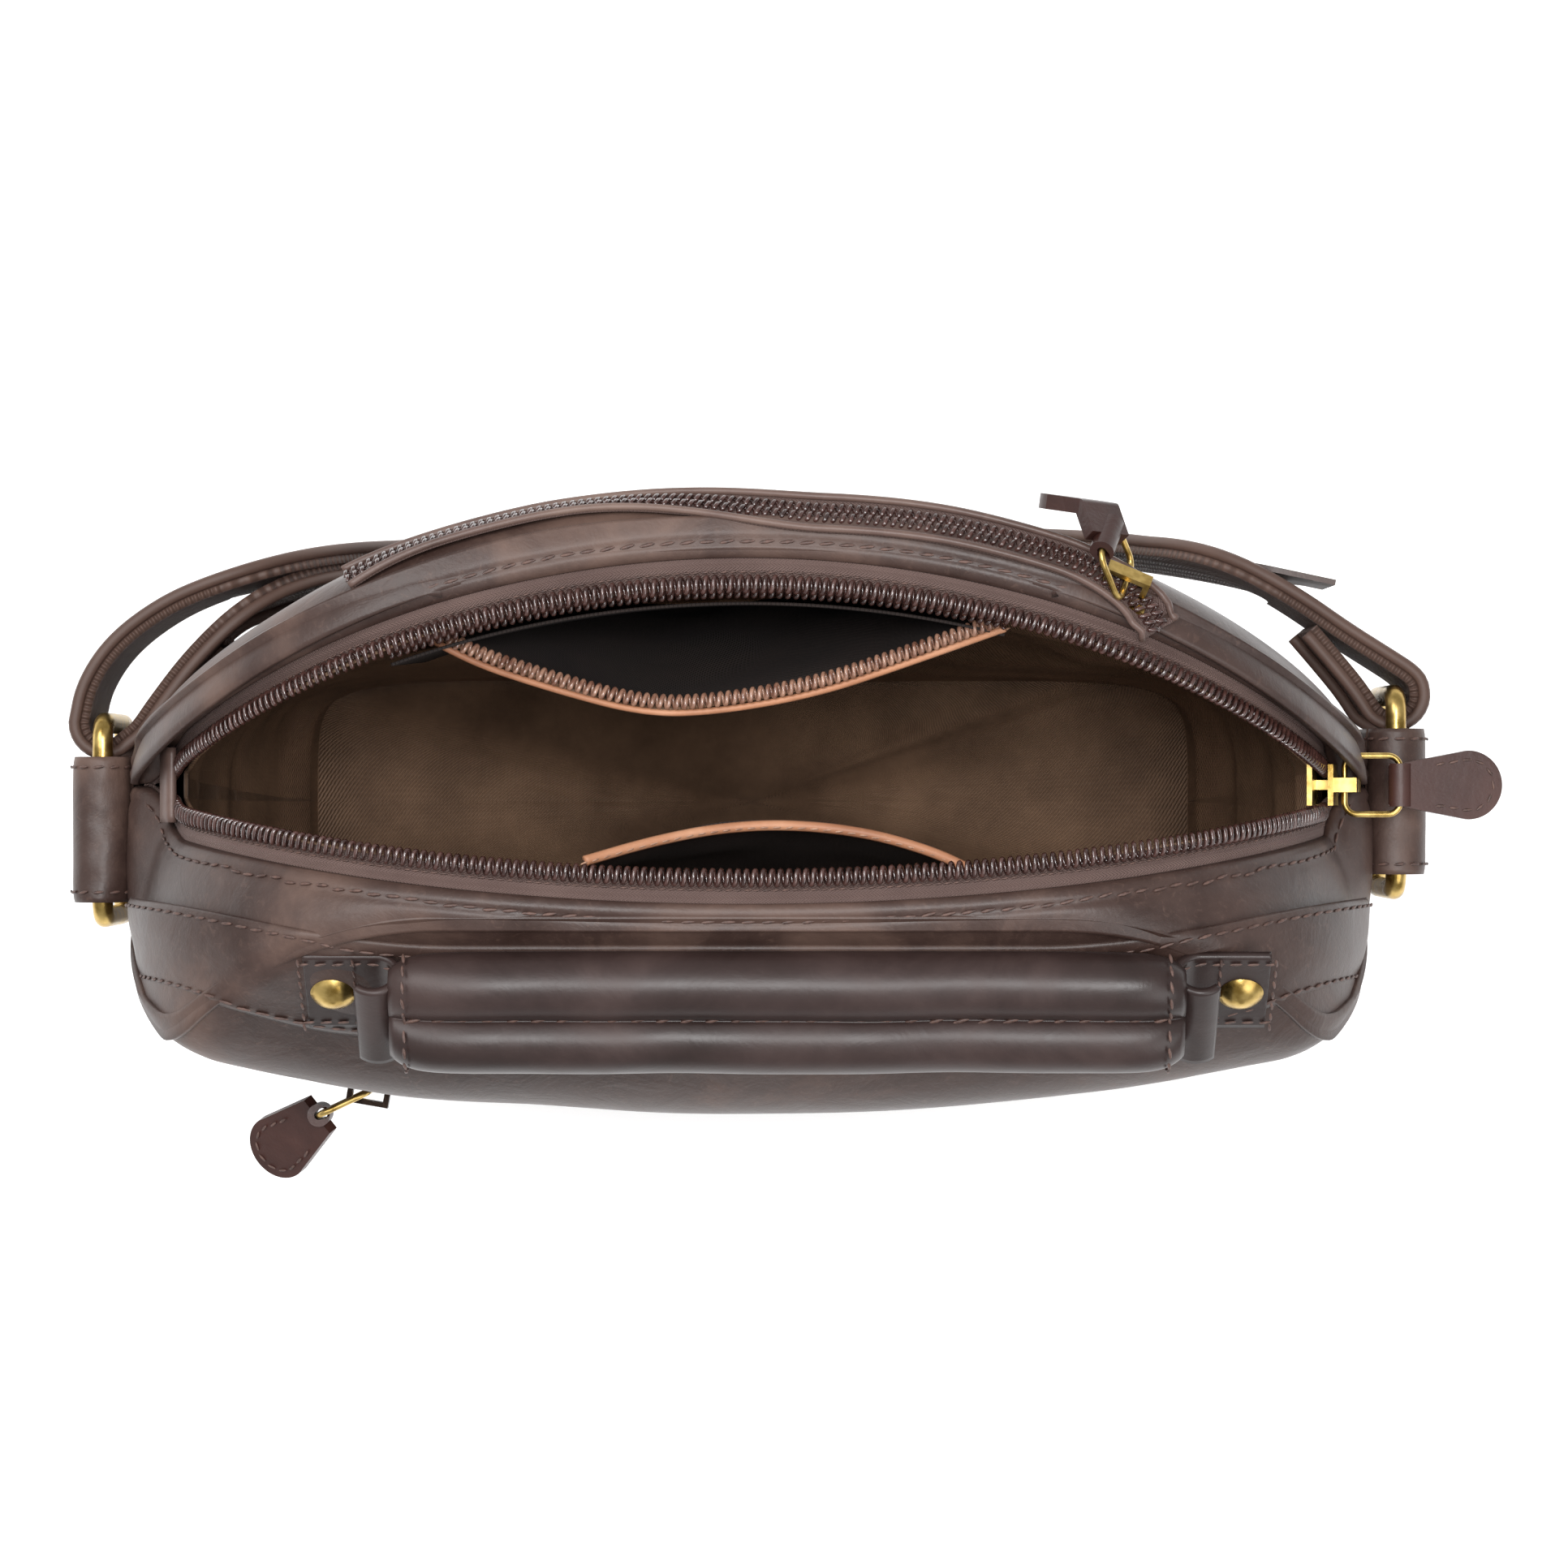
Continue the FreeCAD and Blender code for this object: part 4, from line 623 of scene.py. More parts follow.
def strip(which, low=112.0, count=260, across=22):
    """A ruled surface from the folded edge beside the tape to the wall's rounded edge."""
    away = 1.0 if which == "rear" else -1.0
    flat = HALF - TOP_R
    reach = flat + TOP_R * np.pi / 2 + (HEIGHT - TOP_R - low)
    u = np.linspace(-1, 1, count)
    zip_reach = ZIP_FLAT + ZIP_R * np.pi / 2 + (ZIP_Z - low)
    inner = zip_line(u * zip_reach, which, REVEAL, 1.6)
    x, z, nx, nz = path_over(u * reach, flat, TOP_R, HEIGHT - TOP_R)
    d = 2.2
    wx, wz = x - nx * d, z - nz * d
    depth = rear_depth(wx, wz) if which == "rear" else front_depth(wx, wz)
    outer = np.stack([x - nx * 1.0, depth + away * 0.6, z - nz * 1.0], -1)
    t = np.linspace(0, 1, across)
    t = (t ** 1.3)[None, :, None]
    P = inner[:, None] * (1 - t) + outer[:, None] * t
    n = np.stack([nx, 0 * nx, nz], -1)[:, None]
    w = np.linalg.norm(P - inner[:, None], axis=-1, keepdims=True)
    # The leather puffs between its folded edge and its seam, and rolls down under the fold.
    width = np.linalg.norm(outer - inner, axis=-1)[:, None, None]
    puff = 1.6 * np.sin(np.clip(w / np.maximum(width, 1), 0, 1) * np.pi) * smooth(width, 4, 14)
    roll = -1.3 * np.exp(-w / 0.7)
    groove = -0.45 * np.exp(-((w - 3.6) / 0.9) ** 2)
    wrinkle = 0.35 * waves(P[..., 0], P[..., 1] * 0.6, 30.0, seed=11)[..., None] * smooth(w, 4, 10)
    return P + n * (puff + roll + groove + wrinkle), n[:, 0]


for which in ("rear", "front"):
    P, n = strip(which)
    if which == "rear":
        P = P[::-1]
        n = n[::-1]
    sheet_piece(which + "_zip_strip", P, 1.3, hide, "bag", "panel_leather", replaces=["top_strip_" + which])
    w = np.linalg.norm(P - P[:, :1], axis=-1)
    column = np.argmin(np.abs(w - 3.6), axis=1)
    seam_line = P[np.arange(len(P)), column]
    keep = seam_line[:, 2] > ZIP_END - 6
    plain_piece(which + "_strip_stitches", [stitches(seam_line[keep] + n[keep] * 0.3, n[keep])],
                thread, "bag", "panel_leather")

# %% Ends of the bag below the zip, and the flat base
def end_wall(side, low=20.0, high=118.0, count_y=40, count_z=60):
    """The gusset: across from the front wall's edge to the rear wall's edge, bulging a little."""
    z = np.linspace(low, high, count_z)[None, :]
    x = side * (half_width(z) - 1.5)
    y0, y1 = front_depth(x, z), rear_depth(x, z)
    t = np.linspace(0, 1, count_y)[:, None]
    y = y0 + (y1 - y0) * t
    bulge = 1.2 * np.sin(t * np.pi) ** 0.5
    return np.stack([x + side * bulge + 0 * y, y, z + 0 * y], -1)


for side, name in ((-1, "left"), (1, "right")):
    P = end_wall(side)
    sheet_piece(name + "_gusset", P if side > 0 else P[::-1], 1.6, hide, "bag", "panel_leather",
                replaces=["gusset_" + name])


def base_surface(count_s=160, count_y=40):
    """The base leather: the outline's lower stretch, from the front wall to the rear wall."""
    flat = HALF - BASE_R
    reach = flat + BASE_R * np.pi / 2
    s = np.linspace(-reach, reach, count_s)
    a = np.clip((np.abs(s) - flat) / BASE_R, 0, np.pi / 2)
    x = np.sign(s) * (np.minimum(np.abs(s), flat) + BASE_R * np.sin(a))
    z = BASE_R - BASE_R * np.cos(a)
    inside = np.sign(x) * np.maximum(np.abs(x) - 1.2, 0)
    y0, y1 = front_depth(inside, z + 1.0), rear_depth(inside, z + 1.0)
    t = np.linspace(0, 1, count_y)[None, :]
    y = y0[:, None] + (y1 - y0)[:, None] * t
    return np.stack([x[:, None] + 0 * y, y, z[:, None] + 0 * y], -1)


sheet_piece("base_leather", base_surface()[::-1], 1.6, hide, "bag", "panel_leather", replaces=["base_panel"])

# %% [markdown]
# ## The main zip
# A coil zip's teeth are one nylon wire, wound in a flat helix and sewn along the edge of a woven tape.
# Seen from above each row is two lines of shiny loops, so the wire itself is modelled.

# %% Tapes and coil rows
COIL_WIDE, COIL_PITCH, COIL_WIRE = 4.0, 1.7, 0.95


def coil(path, up, wide=COIL_WIDE, high=2.3, pitch=COIL_PITCH, wire=COIL_WIRE, step=14, sides=6):
    """A flat helix round a path: across by the cosine of its turn, up and down by the sine."""
    far = np.concatenate([[0], np.cumsum(np.linalg.norm(np.diff(path, axis=0), axis=1))])
    turns = far[-1] / pitch
    s = np.linspace(0, far[-1], int(turns * step))
    c = np.stack([np.interp(s, far, path[:, k]) for k in range(3)], -1)
    u = unit(np.stack([np.interp(s, far, up[:, k]) for k in range(3)], -1))
    side = unit(np.cross(along(c), u))
    a = s / pitch * 2 * np.pi
    flat = np.sign(np.cos(a)) * np.abs(np.cos(a)) ** 0.8
    helix = c + side * (flat * (wide - wire) / 2)[:, None] + u * (np.sin(a) * (high - wire) / 2)[:, None]
    return tube(helix, u, wire, wire, sides)


def zip_normals(s):
    """Outward direction of the zip's path at each distance along it."""
    nx, nz = path_over(s, ZIP_FLAT, ZIP_R, ZIP_Z)[2:]
    return np.stack([nx, 0 * nx, nz], -1)


for which in ("rear", "front"):
    away = 1.0 if which == "rear" else -1.0
    s = np.linspace(-ZIP_REACH, ZIP_REACH - 3.0, 260)
    path, up = zip_line(s, which, 0.0, 0.6), zip_normals(s)
    plain_piece(which + "_coil_row", [coil(path, up)], coil_nylon, "bag", "zip_coil",
                replaces=["main_coil_" + which])
    longer = np.linspace(-ZIP_REACH - 9.0, ZIP_REACH + 6.0, 280)
    lines = [zip_line(longer, which, w, lift) for w, lift in
             ((0.4, -0.9), (1.4, -0.7), (2.2, -0.45), (2.8, -0.2), (4.2, 0.1), (6.0, 0.1), (8.0, -0.4))]
    P = np.stack(lines, 1)
    fine = np.linspace(0, P.shape[1] - 1, 19)
    low = np.minimum(fine.astype(int), P.shape[1] - 2)
    P = P[:, low] + (P[:, low + 1] - P[:, low]) * (fine - low)[None, :, None]
    if which == "rear":
        P = P[::-1]
    sheet_piece(which + "_zip_tape_main", P, 0.6, tape_cloth, "bag", "zip_tape",
                replaces=["main_tape_" + which])
    seam = zip_line(s, which, 2.45, 0.0)
    plain_piece(which + "_coil_stitches", [stitches(seam, up, 1.9, 1.5, 0.45)], thread, "bag", "zip_tape")

# %% The left end of the zip: a short bar of folded leather sewn across both tapes
low, high = node_box("main_zip_stop")
bar = np.stack([np.full(12, -121.3), np.linspace(low[1] - 1.5, high[1] + 1.5, 12), np.full(12, 148.5)], -1)
bar_up = np.broadcast_to(np.array([-0.94, 0, 0.34]), bar.shape)
plain_piece("zip_end_bar", [tube(bar, bar_up, 8.5, 2.6, 12, power=0.7)], edge_hide, "bag", "panel_leather",
            replaces=["main_zip_stop"])

# %% [markdown]
# ## Lining
# The lining is a bag of twill sewn to the tapes round the mouth. It is lofted from the mouth's loop down to
# the base, pushed out towards the walls between them, and creased by folds that run out from the right end.

# %% Lining loft
def mouth_loop(count):
    """The closed loop inside both rows, at an even share of each."""
    s = np.linspace(-ZIP_REACH, ZIP_REACH - 2, count // 2)
    rear, front = zip_line(s, "rear", 0.3, -1.9), zip_line(s, "front", 0.3, -1.9)
    return np.concatenate([rear, front[::-1]])


def base_loop(count, half_x=104.0, half_y=29.0, z=6.5):
    """A long rounded loop on the base, its points matched to the mouth's."""
    u = np.linspace(-1, 1, count // 2)
    x = half_x * np.sin(u * np.pi / 2)
    y = half_y * np.maximum(1 - np.abs(u) ** 6, 0) ** 0.5
    return np.concatenate([np.stack([x, y, 0 * x + z], -1), np.stack([x, -y, 0 * x + z], -1)[::-1]])


LINING_COUNT = 360
top, foot = mouth_loop(LINING_COUNT), base_loop(LINING_COUNT)
v = np.linspace(0, 1, 90)[None, :, None]
P = top[:, None] * (1 - v) + foot[:, None] * v
centre = np.array([0.0, 4.0, 0.0])
out = P - centre
out[..., 2] = 0
out = unit(out)
bulge = 13.0 * np.sin(np.clip(v * 1.1, 0, 1) * np.pi) ** 0.8
bulge = bulge * (0.55 + 0.45 * np.abs(out[..., 1:2]))
P = P + out * bulge
# Folds: radial creases about a point near the right end, and soft hollows everywhere.
fx, fz = P[..., 0] - 96.0, P[..., 2] - 120.0
angle, reach = np.arctan2(fz, fx), np.hypot(fx, fz)
star = np.cos(angle * 7 + 0.8) * np.exp(-((reach - 26) / 24) ** 2)
hollows = waves(P[..., 0], P[..., 2], 62.0, seed=21) + 0.5 * waves(P[..., 0], P[..., 2], 26.0, seed=22)
depth = (2.6 * star + 1.3 * hollows) * smooth(v[..., 0], 0.02, 0.25) * (1 - smooth(v[..., 0], 0.8, 1.0))
P = P - out * (depth[..., None] + 1.0)
floor = foot.mean(0)
rings = [foot + (floor - foot) * k for k in (0.15, 0.3, 0.45, 0.6, 0.75, 0.88, 0.999)]
P = np.concatenate([P, np.stack(rings, 1)], 1)
lining_piece = sheet_piece("twill_lining", P[:, ::-1], 0.7, twill, "bag", "lining_cloth",
                           replaces=["lining"], wrap=True)

# %% Inner zip pocket on the rear wall, and slip pocket on the front wall
def lip_path(points, count=120):
    """A smooth line through a few points, by four passes of corner cutting."""
    P = np.array(points, float)
    for _ in range(4):
        a, b = P[:-1] * 0.75 + P[1:] * 0.25, P[:-1] * 0.25 + P[1:] * 0.75
        P = np.concatenate([P[:1], np.stack([a, b], 1).reshape(-1, 3), P[-1:]])
    return resample(P, np.linalg.norm(np.diff(P, axis=0), axis=1).sum() / (count - 1))


def pocket_wall(lip, foot_y, foot_z, lean):
    """Cloth from a pocket's lip down to a line on the lining: straight, with a slight belly."""
    t = np.linspace(0, 1, 40)[None, :, None]
    foot_line = lip.copy()
    foot_line[:, 1] = foot_y
    foot_line[:, 2] = foot_z
    P = lip[:, None] * (1 - t) + foot_line[:, None] * t
    P[..., 1] += lean * np.sin(t[..., 0] * np.pi) + 0.7 * waves(P[..., 0], P[..., 2], 40.0, seed=31)
    return P


zip_lip = lip_path([(-72, 40, 186), (-58, 31, 178), (-40, 25, 171), (-21, 20.0, 167), (-6, 20.5, 167),
                    (14, 24, 171), (32, 30, 177), (52, 37, 185)])
cloth_wall = pocket_wall(zip_lip, 44.0, 84.0, 4.0)
pocket_front = sheet_piece("zip_pocket_wall", cloth_wall, 0.8, twill, "bag", "lining_cloth",
                           replaces=["inner_pocket_cloth"])
trim_grid = np.stack([zip_lip + [0, -1.2, -1.0 - 1.2 * k] for k in range(8)], 1)
sheet_piece("zip_pocket_edge", trim_grid, 0.9, hide, "bag", "tan_leather", replaces=["inner_pocket_trim"])
tan_line = zip_lip + [0, -1.4, -0.6]
tan_points, tan_faces = tube(tan_line, np.array([0, 0, 1.0]) + 0 * tan_line, 1.5, 1.7, 8)
plain_piece("zip_pocket_piping", [(tan_points, tan_faces)], tan_hide, "bag", "tan_leather")
plain_piece("zip_pocket_stitches", [stitches(zip_lip + [0, -1.6, -5.6], np.array([0, -1.0, 0.3]))],
            pale_thread, "bag", "tan_leather")
ups = np.broadcast_to(np.array([0, 0.2, 1.0]), zip_lip.shape)
plain_piece("zip_pocket_front_row", [coil(zip_lip + [0, 0.8, 0.6], ups, 3.4, 2.0)], pale_coil, "bag",
            "zip_coil", replaces=["inner_zip_front"])
rear_line = zip_lip.copy()
rear_line[:, 1] = rear_row(rear_line[:, 0]) - 1.0
rear_line[:, 2] = 186.0
plain_piece("zip_pocket_rear_row", [coil(rear_line, ups, 3.0, 1.8)], coil_nylon, "bag", "zip_coil",
            replaces=["inner_zip_rear"])
# The pocket's inside is the near-black cloth: painted shade in the opening between the lip and the rear row.
inside = pocket_wall(zip_lip + [0, 1.4, -2.0], 45.0, 86.0, 4.0)
pocket_inside = sheet_piece("zip_pocket_inside", inside[::-1], 0.4, painted_shade_cloth, "bag", "lining_cloth")
# The pocket's back is the near-black cloth too: painted shade deep inside the pocket.
back = rear_line[:, None] + np.zeros((1, 30, 1))
back[..., 1] += np.linspace(-2, 1, 30)[None]
back[..., 2] = np.linspace(184, 90, 30)[None]
pocket_back = sheet_piece("zip_pocket_back", back, 0.6, painted_shade_cloth, "bag", "lining_cloth")

slip_lip = lip_path([(-33, -11.4, 181), (-20, -7.6, 176), (-6, -4.8, 172), (8, -4.0, 171), (24, -5.6, 173),
                     (38, -9.6, 178), (46, -13.6, 183)])
# The slip pocket's wall is the near-black cloth: painted shade inside the pocket.
slip = pocket_wall(slip_lip, -24.0, 86.0, 1.5)
slip_front = sheet_piece("slip_pocket_wall", slip[::-1], 0.8, painted_shade_cloth, "bag", "lining_cloth",
                         replaces=["slip_pocket_cloth"])
for cloth, grid, cut in ((pocket_front, cloth_wall, (0.136, 0.098)), (pocket_inside, inside, (0.136, 0.096)),
                         (pocket_back, back, (0.132, 0.095)), (slip_front, slip, (0.084, 0.091))):
    print(cloth.name, "area", round(grid_area(grid), 4), "cut", cut)
slip_tube = tube(slip_lip, np.array([0, 0, 1.0]) + 0 * slip_lip, 2.2, 2.6, 8, power=0.8)
plain_piece("slip_pocket_edge", [slip_tube], tan_hide, "bag", "tan_leather", replaces=["slip_pocket_trim"])
slip_seam = slip_lip + [0, -0.4, 1.2]
plain_piece("slip_pocket_stitches", [stitches(slip_seam, np.array([0, 0, 1.0]), 2.6, 1.8, 0.5)], pale_thread,
            "bag", "tan_leather")

# %% [markdown]
# ## Pocket zips on the outside
# Both are closed coil zips: two rows meshed into one chain, in a slot with folded leather edges.

# %% Rear pocket zip on the leaning top edge, front pocket zip on the belly
def wall_normals(depth, line_points):
    """Normals of a wall from its slope across and up."""
    x, z = line_points[:, 0], line_points[:, 2]
    e = 0.5
    dx = (depth(x + e, z) - depth(x - e, z)) / (2 * e)
    dz = (depth(x, z + e) - depth(x, z - e)) / (2 * e)
    sign = 1.0 if depth is rear_depth else -1.0
    return unit(np.stack([-dx * sign, 0 * x + sign, -dz * sign], -1))


for name, depth, x in (("rear", rear_depth, np.linspace(-80, 82, 180)),
                       ("front", front_depth, np.linspace(-90, 90, 180))):
    level = HEIGHT - 3.0 - 5.5 * smooth(-x, -16, 36) if name == "rear" else 112.0 + 0 * x
    line_points = np.stack([x, depth(x, level), level], -1)
    n = wall_normals(depth, line_points)
    t = along(line_points)
    across = np.cross(t, n)
    rows = []
    for shift in (-1.35, 1.35):
        rows.append(coil(line_points + across * shift + n * 0.7, n, 2.9, 2.0))
    plain_piece(name + "_pocket_chain", rows, coil_nylon, "bag", "zip_coil", replaces=[name + "_zip_chain"])
    flat_tape = np.stack([line_points + across * w + n * 0.45 for w in np.linspace(-5, 5, 9)], 1)
    if normals_of(flat_tape)[90, 4] @ n[90] < 0:
        flat_tape = flat_tape[:, ::-1]
    sheet_piece(name + "_pocket_tape", flat_tape, 0.5, tape_cloth, "bag", "zip_tape",
                replaces=[name + "_zip_tape"])
    rims = []
    for shift in (-4.6, 4.6):
        rims.append(tube(line_points + across * shift + n * 0.9, n, 1.6, 1.6, 8))
    plain_piece(name + "_pocket_rims", rims, edge_hide, "bag", "panel_leather")
    # The rear seams are worked out too, so that later threads keep the same random lean.
    seams = [stitches(line_points + across * shift + n * 0.9, n) for shift in (-7.6, 7.6)]
    if name == "front":
        plain_piece(name + "_pocket_stitches", seams, thread, "bag", "panel_leather")

# %% [markdown]
# ## Handle
# Two foam cords in a leather cover, side by side, with one seam down the middle. The cover's ends are
# stitched across, and rolled leather loops join it to the yoke under two brass rivets.

# %% The handle's own frame, from its CAD solids
low, high = node_box("handle_cover")
HANDLE_MID, HANDLE_HALF = (low[0] + high[0]) / 2, (high[0] - low[0]) / 2
middle = (low + high) / 2
tilt = math.radians(25.6)
H_ACROSS = np.array([0, math.cos(tilt), math.sin(tilt)])
H_UP = np.array([0, -math.sin(tilt), math.cos(tilt)])
LOBE, SPACING = 6.9, 12.2


def handle_section(a):
    """Outline of the two lobes: as far as either circle reaches in a direction, joined in a valley."""
    c, s = np.cos(a), np.sin(a)
    reach = SPACING / 2 * np.abs(c) + np.sqrt(np.maximum(LOBE ** 2 - (SPACING / 2 * s) ** 2, 0))
    return reach * c, reach * s


def handle_cover():
    a = np.linspace(0, 2 * np.pi, 96, endpoint=False)
    y, z = handle_section(a)
    x = np.linspace(-1, 1, 150)[:, None]
    end = 1 - 0.25 * np.abs(x) ** 26 - 0.03 * np.abs(x) ** 4
    flat = 1 - 0.45 * np.abs(x) ** 22
    crown = 0.35 * waves(x * HANDLE_HALF, y[None] * 1.0, 46.0, seed=41)
    P = middle + np.array([1.0, 0, 0]) * (x * HANDLE_HALF)[..., None] \
        + H_ACROSS * (y[None] * end)[..., None] + H_UP * ((z[None] * flat + crown * (z[None] > 0)))[..., None]
    ends = [P[:1] * k + P[:1].mean(1, keepdims=True) * (1 - k) for k in (0.02, 0.5)]
    back = [P[-1:] * k + P[-1:].mean(1, keepdims=True) * (1 - k) for k in (0.5, 0.02)]
    return np.concatenate(ends + [P] + back)


P = handle_cover()
cover_faces = quads(P.shape[0], P.shape[1], False, True)[:, ::-1]
obj = piece("padded_handle", P.reshape(-1, 3), cover_faces, handle_hide, "handle", "handle_leather",
            ["handle_cover", "handle_padding"],
            uv=np.stack([P[..., 0], P[..., 1]], -1).reshape(-1, 2))
xs = np.linspace(-HANDLE_HALF + 5, HANDLE_HALF - 5, 60)
valley_height = math.sqrt(LOBE ** 2 - (SPACING / 2) ** 2) + 0.25
valley = middle + np.array([1.0, 0, 0]) * xs[:, None] + H_UP * valley_height
rows = [stitches(valley, H_UP, 4.9, 3.6, 0.95, 0.3)]
a = np.linspace(0.06, np.pi - 0.06, 40)
y, z = handle_section(a)
for side in (-1, 1):
    cross = middle + np.array([1.0, 0, 0]) * side * (HANDLE_HALF - 3.2) + H_ACROSS * (y * 0.97)[:, None] \
        + H_UP * (z * 1.0)[:, None]
    rows.append(stitches(cross, H_UP, 3.4, 2.6, 0.75))
plain_piece("handle_stitches", rows, thread, "handle", "handle_leather")

# %% End loops, and stitches beside the rivets
def end_loop(side):
    """A flat foot under the rivet that rises into a roll beside the handle."""
    across = np.linspace(-1, 1, 24)[None, :]
    foot, roll = HANDLE_MID + side * (HANDLE_HALF + 17.5), HANDLE_MID + side * (HANDLE_HALF + 3.0)
    t = np.linspace(0, 1, 60)[:, None]
    flat_part = np.clip(t / 0.45, 0, 1)
    turn = np.clip((t - 0.45) / 0.55, 0, 1) * np.pi * 1.25
    x = foot + (roll - foot) * flat_part - side * 4.0 * np.sin(turn)
    rise = 1.2 + 4.0 * (1 - np.cos(turn))
    return x, rise, across


slope = math.atan2(58, 53)
S_ACROSS = np.array([0, math.cos(slope), math.sin(slope)])
S_UP = np.array([0, -math.sin(slope), math.cos(slope)])
for side, name in ((-1, "left"), (1, "right")):
    x, rise, across = end_loop(side)
    rivet_x = HANDLE_MID + side * 91.5
    seat = np.array([0, -37.0, 184.7])
    P = seat + np.array([1.0, 0, 0]) * (x + 0 * across)[..., None] \
        + S_ACROSS * (across * 11.0 + 0 * x)[..., None] + S_UP * (rise + 0 * across)[..., None]
    if side > 0:
        P = P[:, ::-1]
    loop = sheet_piece(name + "_handle_loop", P, 1.5, handle_hide, None, "handle_leather",
                       replaces=["handle_loop_" + name])
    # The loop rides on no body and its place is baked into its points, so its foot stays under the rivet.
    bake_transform(loop)
    rows = []
    for edge in (-0.82, 0.82):
        run = seat + np.array([1.0, 0, 0]) * x[:, :1] + S_ACROSS * (edge * 11.0) + S_UP * (rise[:, :1] + 0.3)
        rows.append(stitches(run[:34], S_UP, 3.4, 2.5, 0.7))
    for off in (-4.6, 6.4):
        run = seat + S_ACROSS * np.linspace(-10, 10, 20)[:, None] + S_UP * 2.0
        run[:, 0] = rivet_x + side * off * 1.0
        rows.append(stitches(run, S_UP, 3.4, 2.5, 0.7))
    plain_piece(name + "_loop_stitches", rows, thread, "bag", "handle_leather")

# %% [markdown]
# ## Tabs and strap
# A tab is one strip of leather rolled round the ring's bar, with its two ends sewn to the bag's end.

# %% Ring tabs
for side, name in ((-1, "left"), (1, "right")):
    low, high = node_box("ring_tab_" + name)
    bar_x, bar_z = side * 138.0, 126.0
    roll = 6.3
    start_x = side * 131.6
    round_the_bar = np.linspace(0, 1.42, 36) * np.pi
    # Seen along the bar: up the bag's end, over the bar, and down again to the sewn tail.
    cx = np.concatenate([np.full(12, start_x), bar_x - side * roll * np.cos(round_the_bar),
                         np.linspace(bar_x - side * roll * math.cos(1.42 * math.pi), side * 134.6, 6)[1:],
                         np.full(10, side * 134.8)])
    cz = np.concatenate([np.linspace(low[2], bar_z, 12), bar_z + roll * np.sin(round_the_bar),
                         np.linspace(bar_z + roll * math.sin(1.42 * math.pi), 117, 6)[1:],
                         np.linspace(116, low[2], 10)])
    y = np.linspace(low[1], high[1], 30)[None, :]
    edge = 1 - 0.06 * (np.abs(np.linspace(-1, 1, 30)) ** 12)[None, :]
    P = np.stack([bar_x + (cx[:, None] - bar_x) * edge, y + 0 * cx[:, None], cz[:, None] + 0 * y], -1)
    P[..., 2] += 0.25 * waves(P[..., 1], P[..., 0], 12.0, seed=50 + side)
    if side > 0:
        P = P[:, ::-1]
    sheet_piece(name + "_ring_tab", P[::-1], 1.5, hide, "bag", "panel_leather",
                replaces=["ring_tab_" + name])
    rows = []
    over = slice(12, 46)
    for at in (low[1] + 2.2, high[1] - 2.2):
        run = np.stack([cx[over], np.full(34, at), cz[over]], -1)
        up = unit(np.stack([cx[over] - bar_x, 0 * cx[over], cz[over] - bar_z], -1))
        rows.append(stitches(run + up * 0.35, up, 3.4, 2.5, 0.7))
    plain_piece(name + "_tab_stitches", rows, thread, "bag", "panel_leather")

# %% Strap: a ribbon in the shape it hangs in, doubled from the left ring to the adjuster
STRAP_WIDE, STRAP_THICK = 28.0, 2.0


def strap_height(x):
    """Height of the strap's middle: level at the rings, falling behind the bag, level at its lowest."""
    return 108.2 + (17.4 - 108.2) * smooth(-np.abs(x), -114.0, -62.0)


def smooth_plan(points, count):
    P = np.array([(a, b, 0.0) for a, b in points])
    for _ in range(4):
        a, b = P[:-1] * 0.75 + P[1:] * 0.25, P[:-1] * 0.25 + P[1:] * 0.75
        P = np.concatenate([P[:1], np.stack([a, b], 1).reshape(-1, 3), P[-1:]])
    return resample(P, np.linalg.norm(np.diff(P, axis=0), axis=1).sum() / (count - 1))


def leg(side):
    high = node_box("ring_left" if side < 0 else "ring_right")[1]
    return np.array([side * 138.0, high[1] - 2.2])


left_leg, right_leg = leg(-1), leg(1)
turn = np.linspace(1.0, 1.78, 14) * np.pi
loop = np.stack([left_leg[0] + 5.6 * np.cos(turn), left_leg[1] + 5.6 * np.sin(turn)], -1)
outer = [(60, 61.4), (30, 63.0), (0, 63.6), (-30, 63.0), (-52, 61.6), (-70, 57.8), (-85, 55.0), (-100, 51.6),
         (-116, 46.5), (-126, 42.0), (-136, 34.5), (-142, 25.5), (-143.6, 17.3)]
inner = [(-131, 15.5), (-127, 21.5), (-119, 32), (-108, 42.5), (-92, 49.5), (-73, 54.8), (-52, 58.9),
         (-30, 60.3), (0, 61.0), (26, 60.5), (34, 60.1)]
turn = np.linspace(0.0, -0.78, 14) * np.pi
right_loop = np.stack([right_leg[0] + 5.6 * np.cos(turn), right_leg[1] + 5.6 * np.sin(turn)], -1)
right_outer = [(60, 61.4), (77, 58.4), (92, 54.8), (106, 50.4), (118, 43.5), (128, 36.5), (136, 31.5),
               (143, 27), (143.6, 23.5)]
right_inner = [(134, 19), (130.5, 24.5), (126, 30.0), (120, 37)]
plan = smooth_plan(right_inner[::-1] + [tuple(p) for p in right_loop[::-1]] + right_outer[::-1] + outer[1:]
                   + [tuple(p) for p in loop] + inner, 460)
middle_z = strap_height(plan[:, 0])
line_points = np.stack([plan[:, 0], plan[:, 1], middle_z], -1)
t = along(line_points)
flat_t = unit(t * [1, 1, 0])
face = np.stack([-flat_t[:, 1], flat_t[:, 0], 0 * flat_t[:, 0]], -1)
up = unit(np.cross(t, face))
up = up * np.sign(up[:, 2:])
w = np.linspace(-0.5, 0.5, 15)[None, :, None]
P = line_points[:, None] + up[:, None] * w * STRAP_WIDE
P[..., 2] = np.maximum(P[..., 2], 1.5)
